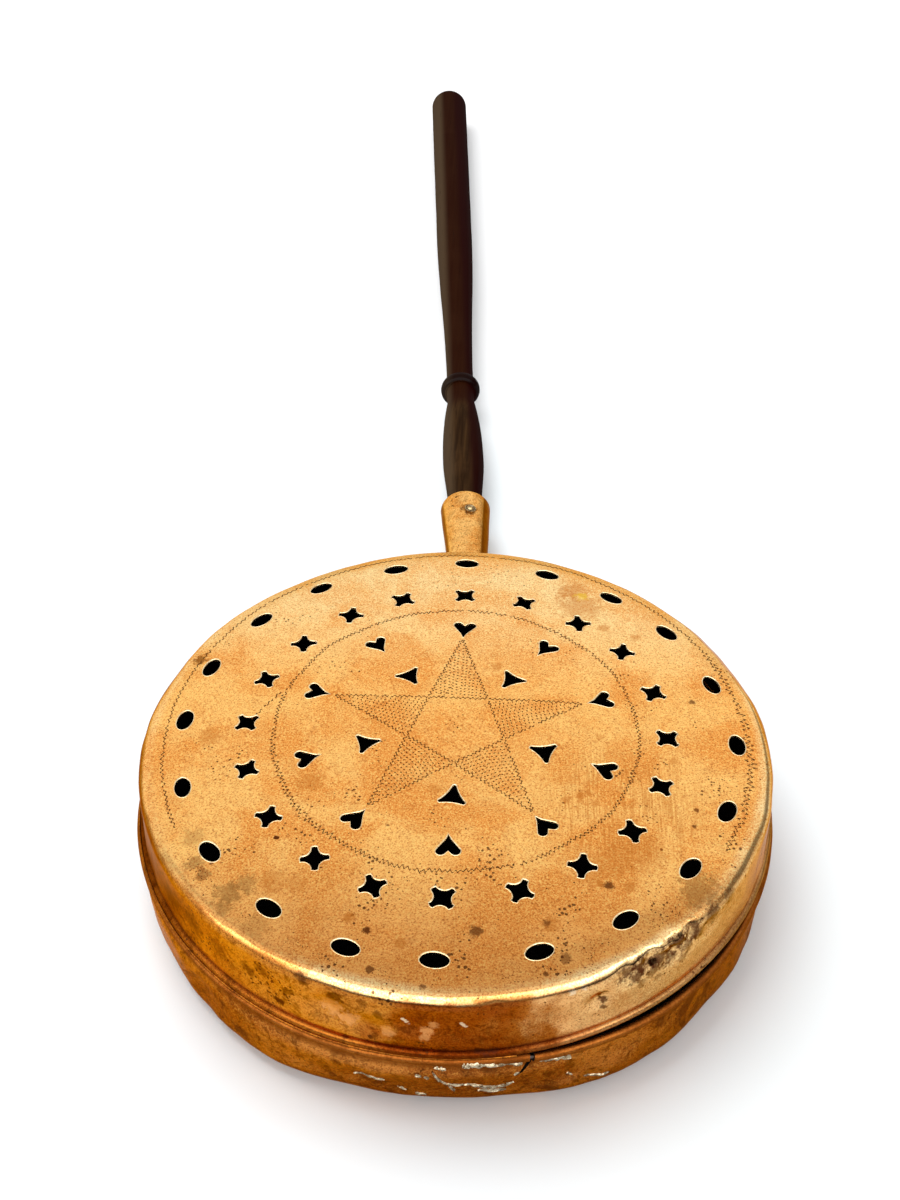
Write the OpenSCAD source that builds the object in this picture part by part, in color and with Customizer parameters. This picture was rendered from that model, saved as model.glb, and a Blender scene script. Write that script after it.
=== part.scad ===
// Bed warming pan: a covered copper ember pan on a turned wooden handle.
// Millimetres, +Z up. The origin is the middle of the pan's flat base, and the handle points to +Y.

/* [Copper sheet] */
// Thickness of the sheet of the pan and the lid
sheet_t = 1.2; // [1:0.1:1.6]
// Diameter of the iron wire inside each rolled rim
rim_wire_d = 1.6; // [1.2:0.1:2.4]
// Gap between the closed lid and the pan's rim
seat_gap = 0.3; // [0.2:0.05:0.8]

/* [Pan] */
// Outside diameter of the pan's wall at the rim
pan_d = 306; // [280:1:340]
// Height of the pan's rim above the ground
pan_h = 40; // [38:0.5:60]
// How far the wall leans in on its way down to the base
pan_taper = 0.5; // [0:0.1:3]
// Radius of the corner between wall and base
pan_corner_r = 12; // [8:0.5:13]

/* [Lid] */
// How far the lid's skirt stands inside the pan's wall line
lid_inset = 2; // [1:0.1:2.4]
// Height of the lid from its lower edge to its crown
lid_h = 43.7; // [40:0.1:60]
// How far the skirt widens on its way down
lid_flare = 1; // [0:0.1:2]
// Radius of the rounded edge between top and skirt
lid_edge_r = 6; // [4:0.5:9]
// Rise of the top from its edge to its middle
crown_h = 7.4; // [4:0.1:9]

/* [Piercings] */
// Oval holes in the outermost ring
oval_count = 20; // [12:1:24]
// Length of an oval hole, along its ring
oval_w = 12.6; // [8:0.1:14]
// Width of an oval hole, across its ring
oval_h = 7.5; // [5:0.1:9]
// Distance from the lid's side to the ring of oval holes
oval_inset = 20; // [18:0.5:24]
// Four-pointed stars in the second ring
star_count = 20; // [12:1:24]
// Size of a star from tip to tip
star_size = 12.6; // [11:0.1:14]
// Waist of a star between its tips
star_waist = 6.7; // [6:0.1:8]
// Radius of a star's hollow sides
star_hollow_r = 4.7; // [4:0.1:6]
// Step inwards from the oval holes to the stars
star_step = 30.5; // [26:0.5:34]
// Hearts in the third ring
heart_count = 10; // [6:1:12]
// Width of a heart
heart_w = 10.3; // [8:0.1:12]
// Height of a heart from its point to its lobes
heart_h = 11; // [9:0.1:12]
// Step inwards from the stars to the hearts
heart_step = 28.3; // [24:0.1:30]
// Triangles in the innermost ring
tri_count = 5; // [3:1:7]
// Size of a triangle, twice the reach of its tips
tri_size = 13; // [10:0.5:14]
// Waist of a triangle, twice the reach of its hollow sides
tri_waist = 5.8; // [4:0.1:6.4]
// Radius of a triangle's hollow sides
tri_hollow_r = 20; // [16:0.5:30]
// Step inwards from the hearts to the triangles
tri_step = 27.9; // [25:0.1:32]

/* [Hinge] */
// Length of the hinge along its pin
hinge_w = 44; // [40:1:48]
// Outside diameter of a knuckle
knuckle_d = 6.4; // [5.6:0.1:7]
// Diameter of the hinge pin
pin_d = 3; // [2.4:0.1:3.4]
// Diameter of the pin's two peened heads
pin_head_d = 4.6; // [4.2:0.1:5.4]
// Thickness of a peened head
pin_head_t = 1; // [0.8:0.1:1.6]
// Gap between the pan's rolled rim and the knuckles
hinge_rim_gap = 1.2; // [1:0.1:2]
// Thickness of a hinge leaf
leaf_t = 1.5; // [1.2:0.1:2]
// Distance from the lid's rolled rim up to its leaf's plate
lid_leaf_lift = 2; // [1.5:0.1:3]
// Distance from the lid leaf's top edge to the rounded edge of the lid
lid_leaf_drop = 10.5; // [9:0.5:13]
// Radius of a leaf's corners
leaf_corner_r = 3; // [2:0.5:4]

/* [Fits] */
// Radial clearance of the lid's knuckles on the pin
pin_clearance = 0.06; // [0.03:0.01:0.09]
// Gap between neighbouring knuckles
knuckle_gap = 0.3; // [0.2:0.05:0.6]
// Gap between the hinge leaf's notch and the socket
socket_clearance = 0.4; // [0.3:0.1:0.8]
// Radial clearance of the nail in the copper and in its washer
nail_clearance = 0.1; // [0.05:0.05:0.3]

/* [Rivets] */
// Diameter of a rivet's shank
rivet_d = 4; // [3:0.1:4.4]
// Diameter of a rivet's head
rivet_head_d = 7; // [6.4:0.1:7.4]
// Height of the domed head outside
rivet_dome_h = 1.8; // [1.4:0.1:2.2]
// Thickness of the flattened head inside
rivet_flat_t = 0.9; // [0.7:0.1:1.4]
// Rivets that hold the lid's leaf
lid_rivet_count = 3; // [2:1:3]
// Distance between the lid's rivets
lid_rivet_pitch = 16; // [14:1:17]
// Distance from the middle to a socket rivet, sideways
socket_rivet_x = 17; // [16.5:0.5:18]
// Distance between the upper and the lower socket rivets
socket_rivet_pitch = 10.5; // [9.5:0.5:11]

/* [Handle socket] */
// Outside diameter of the socket at the pan
socket_root_d = 18; // [17:0.5:20]
// Outside diameter of the socket at its mouth
socket_mouth_d = 31; // [28:0.5:33]
// Length of the socket from the pan to its mouth
socket_len = 98; // [80:1:120]
// Thickness of the socket's wall
socket_t = 1.3; // [1:0.1:1.8]
// Width of the flange that is riveted to the pan
flange_w = 48; // [46:1:52]
// Height of the flange
flange_h = 20; // [19:0.5:21]
// Thickness of the flange
flange_t = 1.4; // [1.2:0.1:2]
// Angle at which the socket and handle lean to one side of the hinge's middle
handle_skew = 4; // [0:0.5:6]

/* [Wooden handle] */
// Depth that is left free between the handle's inner end and the pan
tenon_gap = 8; // [4:1:12]
// Diameter of the wood where it enters the socket
entry_d = 21.2; // [20:0.1:23]
// Diameter of the belly next to the socket
belly_d = 26.6; // [24:0.1:30]
// Length of the belly
belly_len = 122; // [100:1:140]
// Distance from the socket's mouth to the thickest place of the belly
belly_peak = 55; // [40:1:70]
// Diameter of the neck below the collar
neck_d = 18.4; // [16:0.1:20]
// Length of the neck below the collar
neck_len = 12; // [6:0.5:20]
// Diameter of the turned collar
collar_d = 27; // [24:0.5:32]
// Width of the collar
collar_w = 10; // [7:0.5:14]
// Diameter of the shaft above the collar
shaft_d = 18.5; // [16:0.1:22]
// Length from the collar to the full grip
shaft_len = 232; // [180:1:260]
// Diameter of the grip at its thin end
grip_d = 28.4; // [26:0.1:32]
// Diameter of the grip at its thick end
grip_end_d = 31.6; // [28:0.1:34]
// Length of the grip
grip_len = 261; // [200:1:300]
// Radius of the rounded end of the grip
grip_end_r = 7; // [4:0.5:10]
// Height of the soft dome on the grip's end
grip_dome_h = 2.5; // [1:0.1:5]

/* [Nail] */
// Diameter of the nail that holds the handle
nail_d = 2; // [1.6:0.1:2.6]
// Length of the nail below its head
nail_len = 16; // [12:0.5:20]
// Diameter of the nail's domed head
nail_head_d = 4.2; // [3.6:0.1:4.8]
// Height of the nail's head
nail_head_h = 1.3; // [1:0.1:1.8]
// Distance from the socket's mouth to the nail
nail_inset = 17; // [12:1:24]
// Angle of the nail round the socket from straight up
nail_roll = 10; // [0:1:30]
// Diameter of the washer under the nail's head
washer_d = 7; // [6:0.1:9]
// Thickness of the washer
washer_t = 1; // [0.8:0.1:1.4]

/* [Hidden] */
$fn = 96;
SMALL_FN = 48;
OVER = 1;
// Radius of a heart's lobes as a share of its width, and depth of the notch between them
HEART_LOBE = 0.17;
HEART_NOTCH = 0.2;
// Where a heart's flanks are hollowed towards its point: shares of its width and height
HEART_FLANK = [0.11, 0.24];
// How far a knuckle's web is rooted behind the wall line, before the wall is cut away
WEB_ROOT = 4;

rim_d = rim_wire_d + 2 * sheet_t;
rim_r = rim_d / 2;

pan_r = pan_d / 2;
pan_rim_z = pan_h - rim_r;
pan_foot_r = pan_r - pan_taper;

lid_z = pan_h + seat_gap;
lid_low_r = pan_r - lid_inset;
lid_top_r = lid_low_r - lid_flare;
lid_rim_z = lid_z + rim_r;
crown_z = lid_z + lid_h;
top_flat_r = lid_top_r - lid_edge_r;
crown_r = (pow(top_flat_r, 2) + pow(crown_h, 2)) / (2 * crown_h);
crown_centre_z = crown_z - crown_r;
lid_edge_z = crown_centre_z + sqrt(pow(crown_r - lid_edge_r, 2) - pow(top_flat_r, 2));
crown_edge_angle = acos(top_flat_r / (crown_r - lid_edge_r));

oval_ring_r = lid_top_r - oval_inset;
star_ring_r = oval_ring_r - star_step;
heart_ring_r = star_ring_r - heart_step;
tri_ring_r = heart_ring_r - tri_step;

KNUCKLES = 5;
knuckle_r = knuckle_d / 2;
knuckle_pitch = hinge_w / KNUCKLES;
hinge_y = pan_r + rim_r + hinge_rim_gap + knuckle_r;
hinge_z = pan_h + seat_gap / 2;
web_h = 1.6 * leaf_t;
lid_leaf_low = lid_rim_z + rim_r + lid_leaf_lift;
lid_leaf_high = lid_edge_z - lid_leaf_drop;
lid_rivet_z = (lid_leaf_low + lid_leaf_high) / 2;

handle_z = pan_corner_r + flange_h / 2;
pan_leaf_low = handle_z + socket_rivet_pitch / 2 - rivet_head_d / 2 - 1;
pan_leaf_high = pan_rim_z - rim_r - 1;

socket_slope = (socket_mouth_d - socket_root_d) / 2 / socket_len;
socket_root_in_r = socket_root_d / 2 - socket_t;
tenon_fit_s = (entry_d / 2 - socket_root_in_r) / socket_slope;
nail_s = socket_len - nail_inset;

belly_s = socket_len;
neck_s = belly_s + belly_len;
collar_s = neck_s + neck_len;
shaft_s = collar_s + collar_w;
grip_s = shaft_s + shaft_len;
handle_s = grip_s + grip_len;

COPPER = "#c8782f";
DARK_COPPER = "#a85f28";
IRON = "#5a5550";
BRASS = "#b89a55";
WOOD = "#2e1a14";

LID_RIVETS = [for (i = [1 : lid_rivet_count]) i];
SOCKET_RIVETS = [for (i = [1 : 4]) i];

// Points of an arc from angle a0 to angle a1.
function arc(centre, r, a0, a1, steps) =
    [for (i = [0 : steps]) let (a = a0 + (a1 - a0) * i / steps) centre + r * [cos(a), sin(a)]];

// Radius of the pan's wall outside at a height.
function wall_r(z) = pan_r - pan_taper * (pan_rim_z - z) / (pan_rim_z - pan_corner_r);

// Radius of the lid's skirt outside at a height.
function skirt_r(z) = lid_low_r - lid_flare * (z - lid_rim_z) / (lid_edge_z - lid_rim_z);

// Radius of the socket outside at a distance from the pan.
function socket_r(s) = socket_root_d / 2 + socket_slope * s;

// A soft step from 0 to 1, and a fall from 1 to 0 that stays full for longer.
function soft_step(t) = (1 - cos(180 * t)) / 2;
function full_fall(t) = 1 - pow(t, 2.3);

// ---- the two shells ----

// Line of the pan's outside from the axis to the rim, or of its inside with the sheet's thickness off.
function pan_line(off) = concat(
    [[0, off]],
    arc([pan_foot_r - pan_corner_r, pan_corner_r], pan_corner_r - off, -90, 0, 8),
    [[pan_r - off, pan_rim_z - rim_wire_d / 2]]
);

// Line of the lid's outside from the rim to the crown, or of its inside.
function lid_line(off) = concat(
    [[lid_low_r - off, lid_rim_z + rim_wire_d / 2]],
    arc([top_flat_r, lid_edge_z], lid_edge_r - off, 0, crown_edge_angle, 8),
    arc([0, crown_centre_z], crown_r - off, crown_edge_angle, 90, 5)
);

// Section of a sheet between its outside and its inside line.
module sheet_section(outside, inside) {
    last = len(inside) - 1;
    polygon(concat(outside, [for (i = [0 : last]) inside[last - i]]));
}

// The sheet's edge, rolled round its wire.
module rolled_rim_section(r, z) {
    translate([r, z]) circle(rim_r, $fn = SMALL_FN);
}

module rim_wire(r, z) {
    rotate_extrude() translate([r, z]) circle(d = rim_wire_d, $fn = SMALL_FN);
}

// A shell: the sheet and its rolled rim, with the wire's room inside the rim.
module shell(outside, inside, r, z) {
    rotate_extrude() {
        difference() {
            union() {
                sheet_section(outside, inside);
                rolled_rim_section(r, z);
            }
            translate([r, z]) circle(d = rim_wire_d, $fn = SMALL_FN);
        }
    }
}

// All that a shell takes up, filled to the axis.
module filled_shell(outside, r, z) {
    rotate_extrude() {
        polygon(concat(outside, [[0, z]]));
        rolled_rim_section(r, z);
    }
}

module pan_outside() {
    filled_shell(pan_line(0), pan_r, pan_rim_z);
}

module lid_outside() {
    filled_shell(lid_line(0), lid_low_r, lid_rim_z);
}

// A star with hollow sides and blunt tips, one tip on +Y.
module hollow_star(tips, tip_r, waist_r, hollow_r) {
    half = 180 / tips;
    difference() {
        circle(tip_r, $fn = SMALL_FN);
        for (i = [0 : tips - 1]) {
            rotate(90 + half + 2 * half * i) translate([waist_r + hollow_r, 0]) circle(hollow_r);
        }
    }
}

// Where a line from a point touches a circle, on the left or the right as seen from the point.
function touch(from, centre, r, left) =
    let (
        way = centre - from,
        turn = asin(r / norm(way)) * (left ? 1 : -1),
        angle = atan2(way.y, way.x) + turn
    )
    from + sqrt(pow(norm(way), 2) - pow(r, 2)) * [cos(angle), sin(angle)];

// A heart with its point on -Y: two round lobes, a notch between them and hollowed flanks.
module heart() {
    lobe_r = heart_w * HEART_LOBE;
    lobe = [heart_w / 2 - lobe_r, heart_h / 2 - lobe_r];
    tip = [0, -heart_h / 2];
    flank = [heart_w * HEART_FLANK.x, -heart_h * HEART_FLANK.y];
    notch = [0, heart_h * (0.5 - HEART_NOTCH)];
    right = [flank, touch(flank, lobe, lobe_r, false), lobe, touch(notch, lobe, lobe_r, true)];
    for (x = [-lobe.x, lobe.x]) {
        translate([x, lobe.y]) circle(lobe_r, $fn = SMALL_FN);
    }
    polygon(concat([tip], right, [notch], [for (i = [3 : -1 : 0]) [-right[i].x, right[i].y]]));
}

// Copies round a ring, starting on the handle's side.
module ring(count, r, start = 0) {
    for (i = [0 : count - 1]) {
        rotate(start - 360 * i / count) translate([0, r]) children();
    }
}

module piercings() {
    ring(oval_count, oval_ring_r) scale([1, oval_h / oval_w]) circle(d = oval_w);
    ring(star_count, star_ring_r) rotate(45) hollow_star(4, star_size / 2, star_waist / 2, star_hollow_r);
    ring(heart_count, heart_ring_r) heart();
    ring(tri_count, tri_ring_r, -180 / tri_count) rotate(180) hollow_star(3, tri_size / 2, tri_waist / 2, tri_hollow_r);
}

module lid() {
    color(COPPER)
    difference() {
        shell(lid_line(0), lid_line(sheet_t), lid_low_r, lid_rim_z);
        translate([0, 0, lid_edge_z]) linear_extrude(crown_z - lid_edge_z + OVER) piercings();
        lid_rivet_holes();
    }
}

module lid_rim_wire() {
    color(IRON) rim_wire(lid_low_r, lid_rim_z);
}

module pan() {
    color(COPPER)
    difference() {
        shell(pan_line(0), pan_line(sheet_t), pan_r, pan_rim_z);
        socket_rivet_holes();
    }
}

module pan_rim_wire() {
    color(IRON) rim_wire(pan_r, pan_rim_z);
}

// ---- rivets ----

// Places a rivet: +Z of the child points straight out of the wall or skirt.
module on_side(x, r, z) {
    rotate([0, 0, -asin(x / r)]) translate([0, r, z]) rotate([-90, 0, 0]) children();
}

module at_lid_rivet(i) {
    x = (i - (lid_rivet_count + 1) / 2) * lid_rivet_pitch;
    on_side(x, skirt_r(lid_rivet_z), lid_rivet_z) children();
}

// The upper two socket rivets, 1 and 2, also hold the pan's hinge leaf.
module at_socket_rivet(i) {
    x = (i % 2 == 1 ? -1 : 1) * socket_rivet_x;
    z = handle_z + (i < 3 ? 1 : -1) * socket_rivet_pitch / 2;
    on_side(x, wall_r(z), z) children();
}

module rivet_hole() {
    depth = 2 * (sheet_t + flange_t + leaf_t) + OVER;
    translate([0, 0, -depth / 2]) cylinder(d = rivet_d, h = depth, $fn = SMALL_FN);
}

module lid_rivet_holes() {
    for (i = LID_RIVETS) at_lid_rivet(i) rivet_hole();
}

module socket_rivet_holes() {
    for (i = SOCKET_RIVETS) at_socket_rivet(i) rivet_hole();
}

// A shank from the flat head inside to the domed head outside.
module rivet_shank(stack) {
    translate([0, 0, -sheet_t - rivet_flat_t]) {
        cylinder(d = rivet_d, h = rivet_flat_t + sheet_t + stack + rivet_dome_h / 2, $fn = SMALL_FN);
    }
}

module rivet_dome(stack) {
    ball_r = (pow(rivet_head_d / 2, 2) + pow(rivet_dome_h, 2)) / (2 * rivet_dome_h);
    dome = arc([0, rivet_dome_h - ball_r], ball_r, asin(1 - rivet_dome_h / ball_r), 90, 5);
    translate([0, 0, stack]) {
        rotate_extrude($fn = SMALL_FN) polygon(concat([[0, -OVER], [rivet_head_d / 2, -OVER]], dome));
    }
}

module rivet_flat() {
    translate([0, 0, -sheet_t - rivet_flat_t]) cylinder(d = rivet_head_d, h = rivet_flat_t + OVER, $fn = SMALL_FN);
}

// A body of revolution that follows the wall, from its outside to a distance in front of it.
module wall_jacket(thick) {
    rotate_extrude() {
        low = pan_corner_r;
        high = pan_rim_z;
        polygon([[0, low], [wall_r(low) + thick, low], [wall_r(high) + thick, high], [0, high]]);
    }
}

module skirt_jacket(thick) {
    rotate_extrude() {
        low = lid_rim_z;
        high = lid_edge_z;
        polygon([[0, low], [skirt_r(low) + thick, low], [skirt_r(high) + thick, high], [0, high]]);
    }
}

module lid_hinge_rivet(i) {
    color(DARK_COPPER) {
        difference() {
            at_lid_rivet(i) rivet_dome(leaf_t);
            skirt_jacket(leaf_t);
        }
        intersection() {
            at_lid_rivet(i) rivet_flat();
            skirt_jacket(-sheet_t);
        }
        at_lid_rivet(i) rivet_shank(leaf_t);
    }
}

module socket_rivet(i) {
    stack = flange_t + (i < 3 ? leaf_t : 0);
    color(DARK_COPPER) {
        difference() {
            at_socket_rivet(i) rivet_dome(stack);
            wall_jacket(stack);
        }
        intersection() {
            at_socket_rivet(i) rivet_flat();
            wall_jacket(-sheet_t);
        }
        at_socket_rivet(i) rivet_shank(stack);
    }
}

// ---- hinge ----

// A plate outline in X and Z with round corners, as thick as needed along +Y.
module upright_plate(w, low, high, corner) {
    side = w / 2 - corner;
    outline = concat(
        arc([side, low + corner], corner, -90, 0, 5),
        arc([side, high - corner], corner, 0, 90, 5),
        arc([-side, high - corner], corner, 90, 180, 5),
        arc([-side, low + corner], corner, 180, 270, 5)
    );
    translate([0, pan_r + 2 * knuckle_d, 0]) rotate([90, 0, 0]) linear_extrude(pan_r / 2) polygon(outline);
}

// The knuckles with numbers i, each with the outline of its web in Y and Z.
module knuckles(numbers, bore_r, web) {
    length = knuckle_pitch - knuckle_gap;
    for (i = numbers) {
        translate([-hinge_w / 2 + knuckle_pitch * i + knuckle_gap / 2, 0, 0])
        rotate([90, 0, 90])
        difference() {
            union() {
                translate([hinge_y, hinge_z]) cylinder(r = knuckle_r, h = length, $fn = SMALL_FN);
                linear_extrude(length) polygon(web);
            }
            translate([hinge_y, hinge_z, -OVER]) cylinder(r = bore_r, h = length + 2 * OVER, $fn = SMALL_FN);
        }
    }
}

module lid_hinge_leaf() {
    root_y = skirt_r(lid_leaf_low);
    web = [
        [root_y - WEB_ROOT, lid_leaf_low],
        [hinge_y - knuckle_r, hinge_z + knuckle_r * 0.1],
        [hinge_y, hinge_z + knuckle_r],
        [root_y + leaf_t, lid_leaf_low + web_h],
        [root_y - WEB_ROOT, lid_leaf_low + web_h]
    ];
    color(COPPER)
    difference() {
        union() {
            difference() {
                intersection() {
                    skirt_jacket(leaf_t);
                    upright_plate(hinge_w, lid_leaf_low, lid_leaf_high, leaf_corner_r);
                }
                lid_rivet_holes();
            }
            knuckles([1, 3], pin_d / 2 + pin_clearance, web);
        }
        lid_outside();
    }
}

module pan_hinge_leaf() {
    root_y = wall_r(pan_leaf_high) + flange_t;
    web = [
        [root_y - WEB_ROOT, pan_leaf_high - web_h],
        [root_y + leaf_t, pan_leaf_high - web_h],
        [hinge_y + knuckle_r * 0.8, hinge_z - knuckle_r * 0.6],
        [hinge_y - knuckle_r, hinge_z],
        [root_y - WEB_ROOT, pan_leaf_high]
    ];
    color(COPPER)
    difference() {
        union() {
            intersection() {
                wall_jacket(flange_t + leaf_t);
                upright_plate(hinge_w, pan_leaf_low, pan_leaf_high, leaf_corner_r);
            }
            knuckles([0, 2, 4], pin_d / 2, web);
        }
        wall_jacket(flange_t);
        pan_outside();
        socket_rivet_holes();
        along_handle() cylinder(
            r = socket_r(flange_t + leaf_t) + socket_clearance,
            h = flange_t + leaf_t + OVER,
            $fn = SMALL_FN
        );
    }
}

module hinge_pin() {
    color(IRON)
    translate([0, hinge_y, hinge_z]) rotate([0, 90, 0]) {
        cylinder(d = pin_d, h = hinge_w + pin_head_t, center = true, $fn = SMALL_FN);
        for (side = [-1, 1]) {
            translate([0, 0, side * (hinge_w - knuckle_gap + pin_head_t) / 2]) {
                cylinder(d = pin_head_d, h = pin_head_t, center = true, $fn = SMALL_FN);
            }
        }
    }
}

// ---- socket, handle and nail ----

// +Z of the child runs along the handle, from the pan's wall outwards.
module along_handle() {
    translate([0, pan_r, handle_z]) rotate([0, 0, handle_skew]) rotate([-90, 0, 0]) children();
}

// A cone of the socket's own taper, made thinner or thicker by an offset.
module socket_cone(off, s0, s1) {
    translate([0, 0, s0]) cylinder(r1 = socket_r(s0) + off, r2 = socket_r(s1) + off, h = s1 - s0);
}

// +Z of the child points out of the socket along the nail.
module at_nail() {
    along_handle() translate([0, 0, nail_s]) rotate([0, 0, nail_roll]) rotate([90, 0, 0]) children();
}

module nail_shank(extra) {
    head_z = socket_r(nail_s) + washer_t;
    at_nail() translate([0, 0, head_z - nail_len]) cylinder(r = nail_d / 2 + extra, h = nail_len, $fn = SMALL_FN);
}

module handle_socket() {
    back = 2 * sheet_t;
    color(COPPER)
    difference() {
        union() {
            along_handle() socket_cone(0, -back, socket_len);
            intersection() {
                wall_jacket(flange_t);
                upright_plate(flange_w, handle_z - flange_h / 2, handle_z + flange_h / 2, leaf_corner_r);
            }
        }
        along_handle() socket_cone(-socket_t, -back - OVER, socket_len + OVER);
        pan_outside();
        socket_rivet_holes();
        nail_shank(nail_clearance);
    }
}

// Outline of the turned handle, as points of radius and distance from the pan.
function tenon_points() = [
    [0, tenon_gap],
    [socket_root_in_r + socket_slope * tenon_gap, tenon_gap],
    [entry_d / 2, tenon_fit_s]
];

function blend_points(s0, s1, d0, d1, steps) =
    [for (i = [0 : steps]) let (t = i / steps) [(d0 + (d1 - d0) * soft_step(t)) / 2, s0 + (s1 - s0) * t]];

function belly_fall_points(s0, s1, steps) =
    [for (i = [1 : steps]) let (t = i / steps)
        [(neck_d + (belly_d - neck_d) * full_fall(t)) / 2, s0 + (s1 - s0) * t]];

function collar_points(steps) =
    [for (i = [0 : steps]) let (a = 180 * i / steps)
        [neck_d / 2 + (collar_d - neck_d) / 2 * sin(a), collar_s + collar_w / 2 * (1 - cos(a))]];

function grip_end_points() = concat(
    arc([grip_end_d / 2 - grip_end_r, handle_s - grip_dome_h - grip_end_r], grip_end_r, 0, 75, 6),
    [[(grip_end_d / 2 - grip_end_r) * 0.6, handle_s - grip_dome_h * 0.2], [0, handle_s]]
);

module handle() {
    peak_s = belly_s + belly_peak;
    color(WOOD)
    difference() {
        along_handle() rotate_extrude() polygon(concat(
            tenon_points(),
            blend_points(belly_s, peak_s, entry_d, belly_d, 8),
            belly_fall_points(peak_s, neck_s, 10),
            collar_points(10),
            blend_points(shaft_s, grip_s, shaft_d, grip_d, 18),
            grip_end_points()
        ));
        nail_shank(0);
    }
}

module handle_nail() {
    ball_r = (pow(nail_head_d / 2, 2) + pow(nail_head_h, 2)) / (2 * nail_head_h);
    dome = arc([0, nail_head_h - ball_r], ball_r, asin(1 - nail_head_h / ball_r), 90, 5);
    color(BRASS) {
        nail_shank(0);
        at_nail() translate([0, 0, socket_r(nail_s) + washer_t]) {
            rotate_extrude($fn = SMALL_FN) polygon(concat([[0, 0]], dome));
        }
    }
}

module nail_washer() {
    seat = socket_r(nail_s);
    color(BRASS)
    difference() {
        at_nail() translate([0, 0, seat - washer_t]) cylinder(d = washer_d, h = 2 * washer_t, $fn = SMALL_FN);
        along_handle() socket_cone(0, nail_s - washer_d, nail_s + washer_d);
        nail_shank(nail_clearance);
    }
}

lid();
lid_rim_wire();
lid_hinge_leaf();
pan();
pan_rim_wire();
pan_hinge_leaf();
hinge_pin();
handle_socket();
handle();
handle_nail();
nail_washer();
for (i = LID_RIVETS) {
    lid_hinge_rivet(i);
}
for (i = SOCKET_RIVETS) {
    socket_rivet(i);
}
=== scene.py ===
import math
import random

import bmesh
import bpy
from mathutils import Matrix, Vector, noise


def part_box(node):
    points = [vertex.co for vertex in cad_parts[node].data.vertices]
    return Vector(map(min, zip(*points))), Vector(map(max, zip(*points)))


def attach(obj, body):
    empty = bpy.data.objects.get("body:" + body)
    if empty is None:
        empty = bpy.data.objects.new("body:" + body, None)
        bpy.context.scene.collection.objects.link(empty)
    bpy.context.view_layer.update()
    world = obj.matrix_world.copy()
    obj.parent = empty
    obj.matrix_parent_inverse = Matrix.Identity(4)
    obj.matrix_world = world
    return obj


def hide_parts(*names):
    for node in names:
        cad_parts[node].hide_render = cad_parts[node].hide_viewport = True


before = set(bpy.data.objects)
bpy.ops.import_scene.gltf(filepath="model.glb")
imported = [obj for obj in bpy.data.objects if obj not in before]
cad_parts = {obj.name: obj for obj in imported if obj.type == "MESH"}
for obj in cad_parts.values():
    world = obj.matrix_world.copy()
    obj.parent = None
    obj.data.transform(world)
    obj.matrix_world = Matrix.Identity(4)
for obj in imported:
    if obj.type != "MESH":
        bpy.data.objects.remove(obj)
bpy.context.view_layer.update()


# ---- the pan ----
# The ember pan is raised from one sheet of copper, and its edge is rolled round an iron wire.
# Use has pushed its foot in at the front and pulled its rim down on the right, where it tore.

mm = 0.001
sheet = 1.2 * mm
pan_wire_low, pan_wire_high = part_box("pan_rim_wire")
wire_r = (pan_wire_high.z - pan_wire_low.z) / 2
bead_r = wire_r + sheet
pan_r = pan_wire_high.x - wire_r
pan_rim_z = (pan_wire_low.z + pan_wire_high.z) / 2
pan_corner = 12 * mm
pan_foot_r = pan_r - 0.5 * mm
shell_turns = 320

# Places round the pan are bearings in degrees: 0 at the front, positive to the right.
foot_push = 3 * mm
foot_bulge = 2 * mm
rim_drop = 1 * mm
rim_sag = 1.4 * mm
tear_bearing = 14.9
# The tear's outline, across and up from the rim's middle, from the rim down to its tip and back.
tear_outline = [(-0.6, 3), (-2.2, -3.5), (-4.6, -8), (-7, -12.5), (-3.4, -8.5), (-0.4, -4), (1.6, 3)]


def arc(centre, radius, start, stop, steps):
    """Points, as distance from the axis and height, of an arc between two angles in degrees."""
    angles = [math.radians(start + (stop - start) * i / steps) for i in range(steps + 1)]
    return [(centre[0] + radius * math.cos(a), centre[1] + radius * math.sin(a)) for a in angles]


def line(start, stop, steps):
    """Points strictly between two points of a section."""
    shares = [i / steps for i in range(1, steps)]
    return [(start[0] + (stop[0] - start[0]) * t, start[1] + (stop[1] - start[1]) * t) for t in shares]


def spun(section, turns, closed=False):
    """A body of revolution round the Z axis."""
    bm = bmesh.new()
    ring = [bm.verts.new((r, 0, z)) for r, z in section]
    for a, b in zip(ring, ring[1:] + (ring[:1] if closed else [])):
        bm.edges.new((a, b))
    geom = bm.verts[:] + bm.edges[:]
    bmesh.ops.spin(
        bm, geom=geom, cent=(0, 0, 0), axis=(0, 0, 1), angle=math.tau, steps=turns, use_merge=True
    )
    bmesh.ops.remove_doubles(bm, verts=bm.verts, dist=1e-6)
    bmesh.ops.recalc_face_normals(bm, faces=bm.faces)
    return bm


def placed(name, data):
    """A new object in the scene, at the origin."""
    piece = bpy.data.objects.new(name, data)
    bpy.context.scene.collection.objects.link(piece)
    return piece


def finished(bm, name, materials, crease=35):
    """The mesh as an object at the origin, smooth but for edges sharper than the crease."""
    mesh = bpy.data.meshes.new(name)
    bm.to_mesh(mesh)
    bm.free()
    for material in materials:
        mesh.materials.append(material)
    mesh.shade_smooth()
    mesh.set_sharp_from_angle(angle=math.radians(crease))
    return placed(name, mesh)


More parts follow.
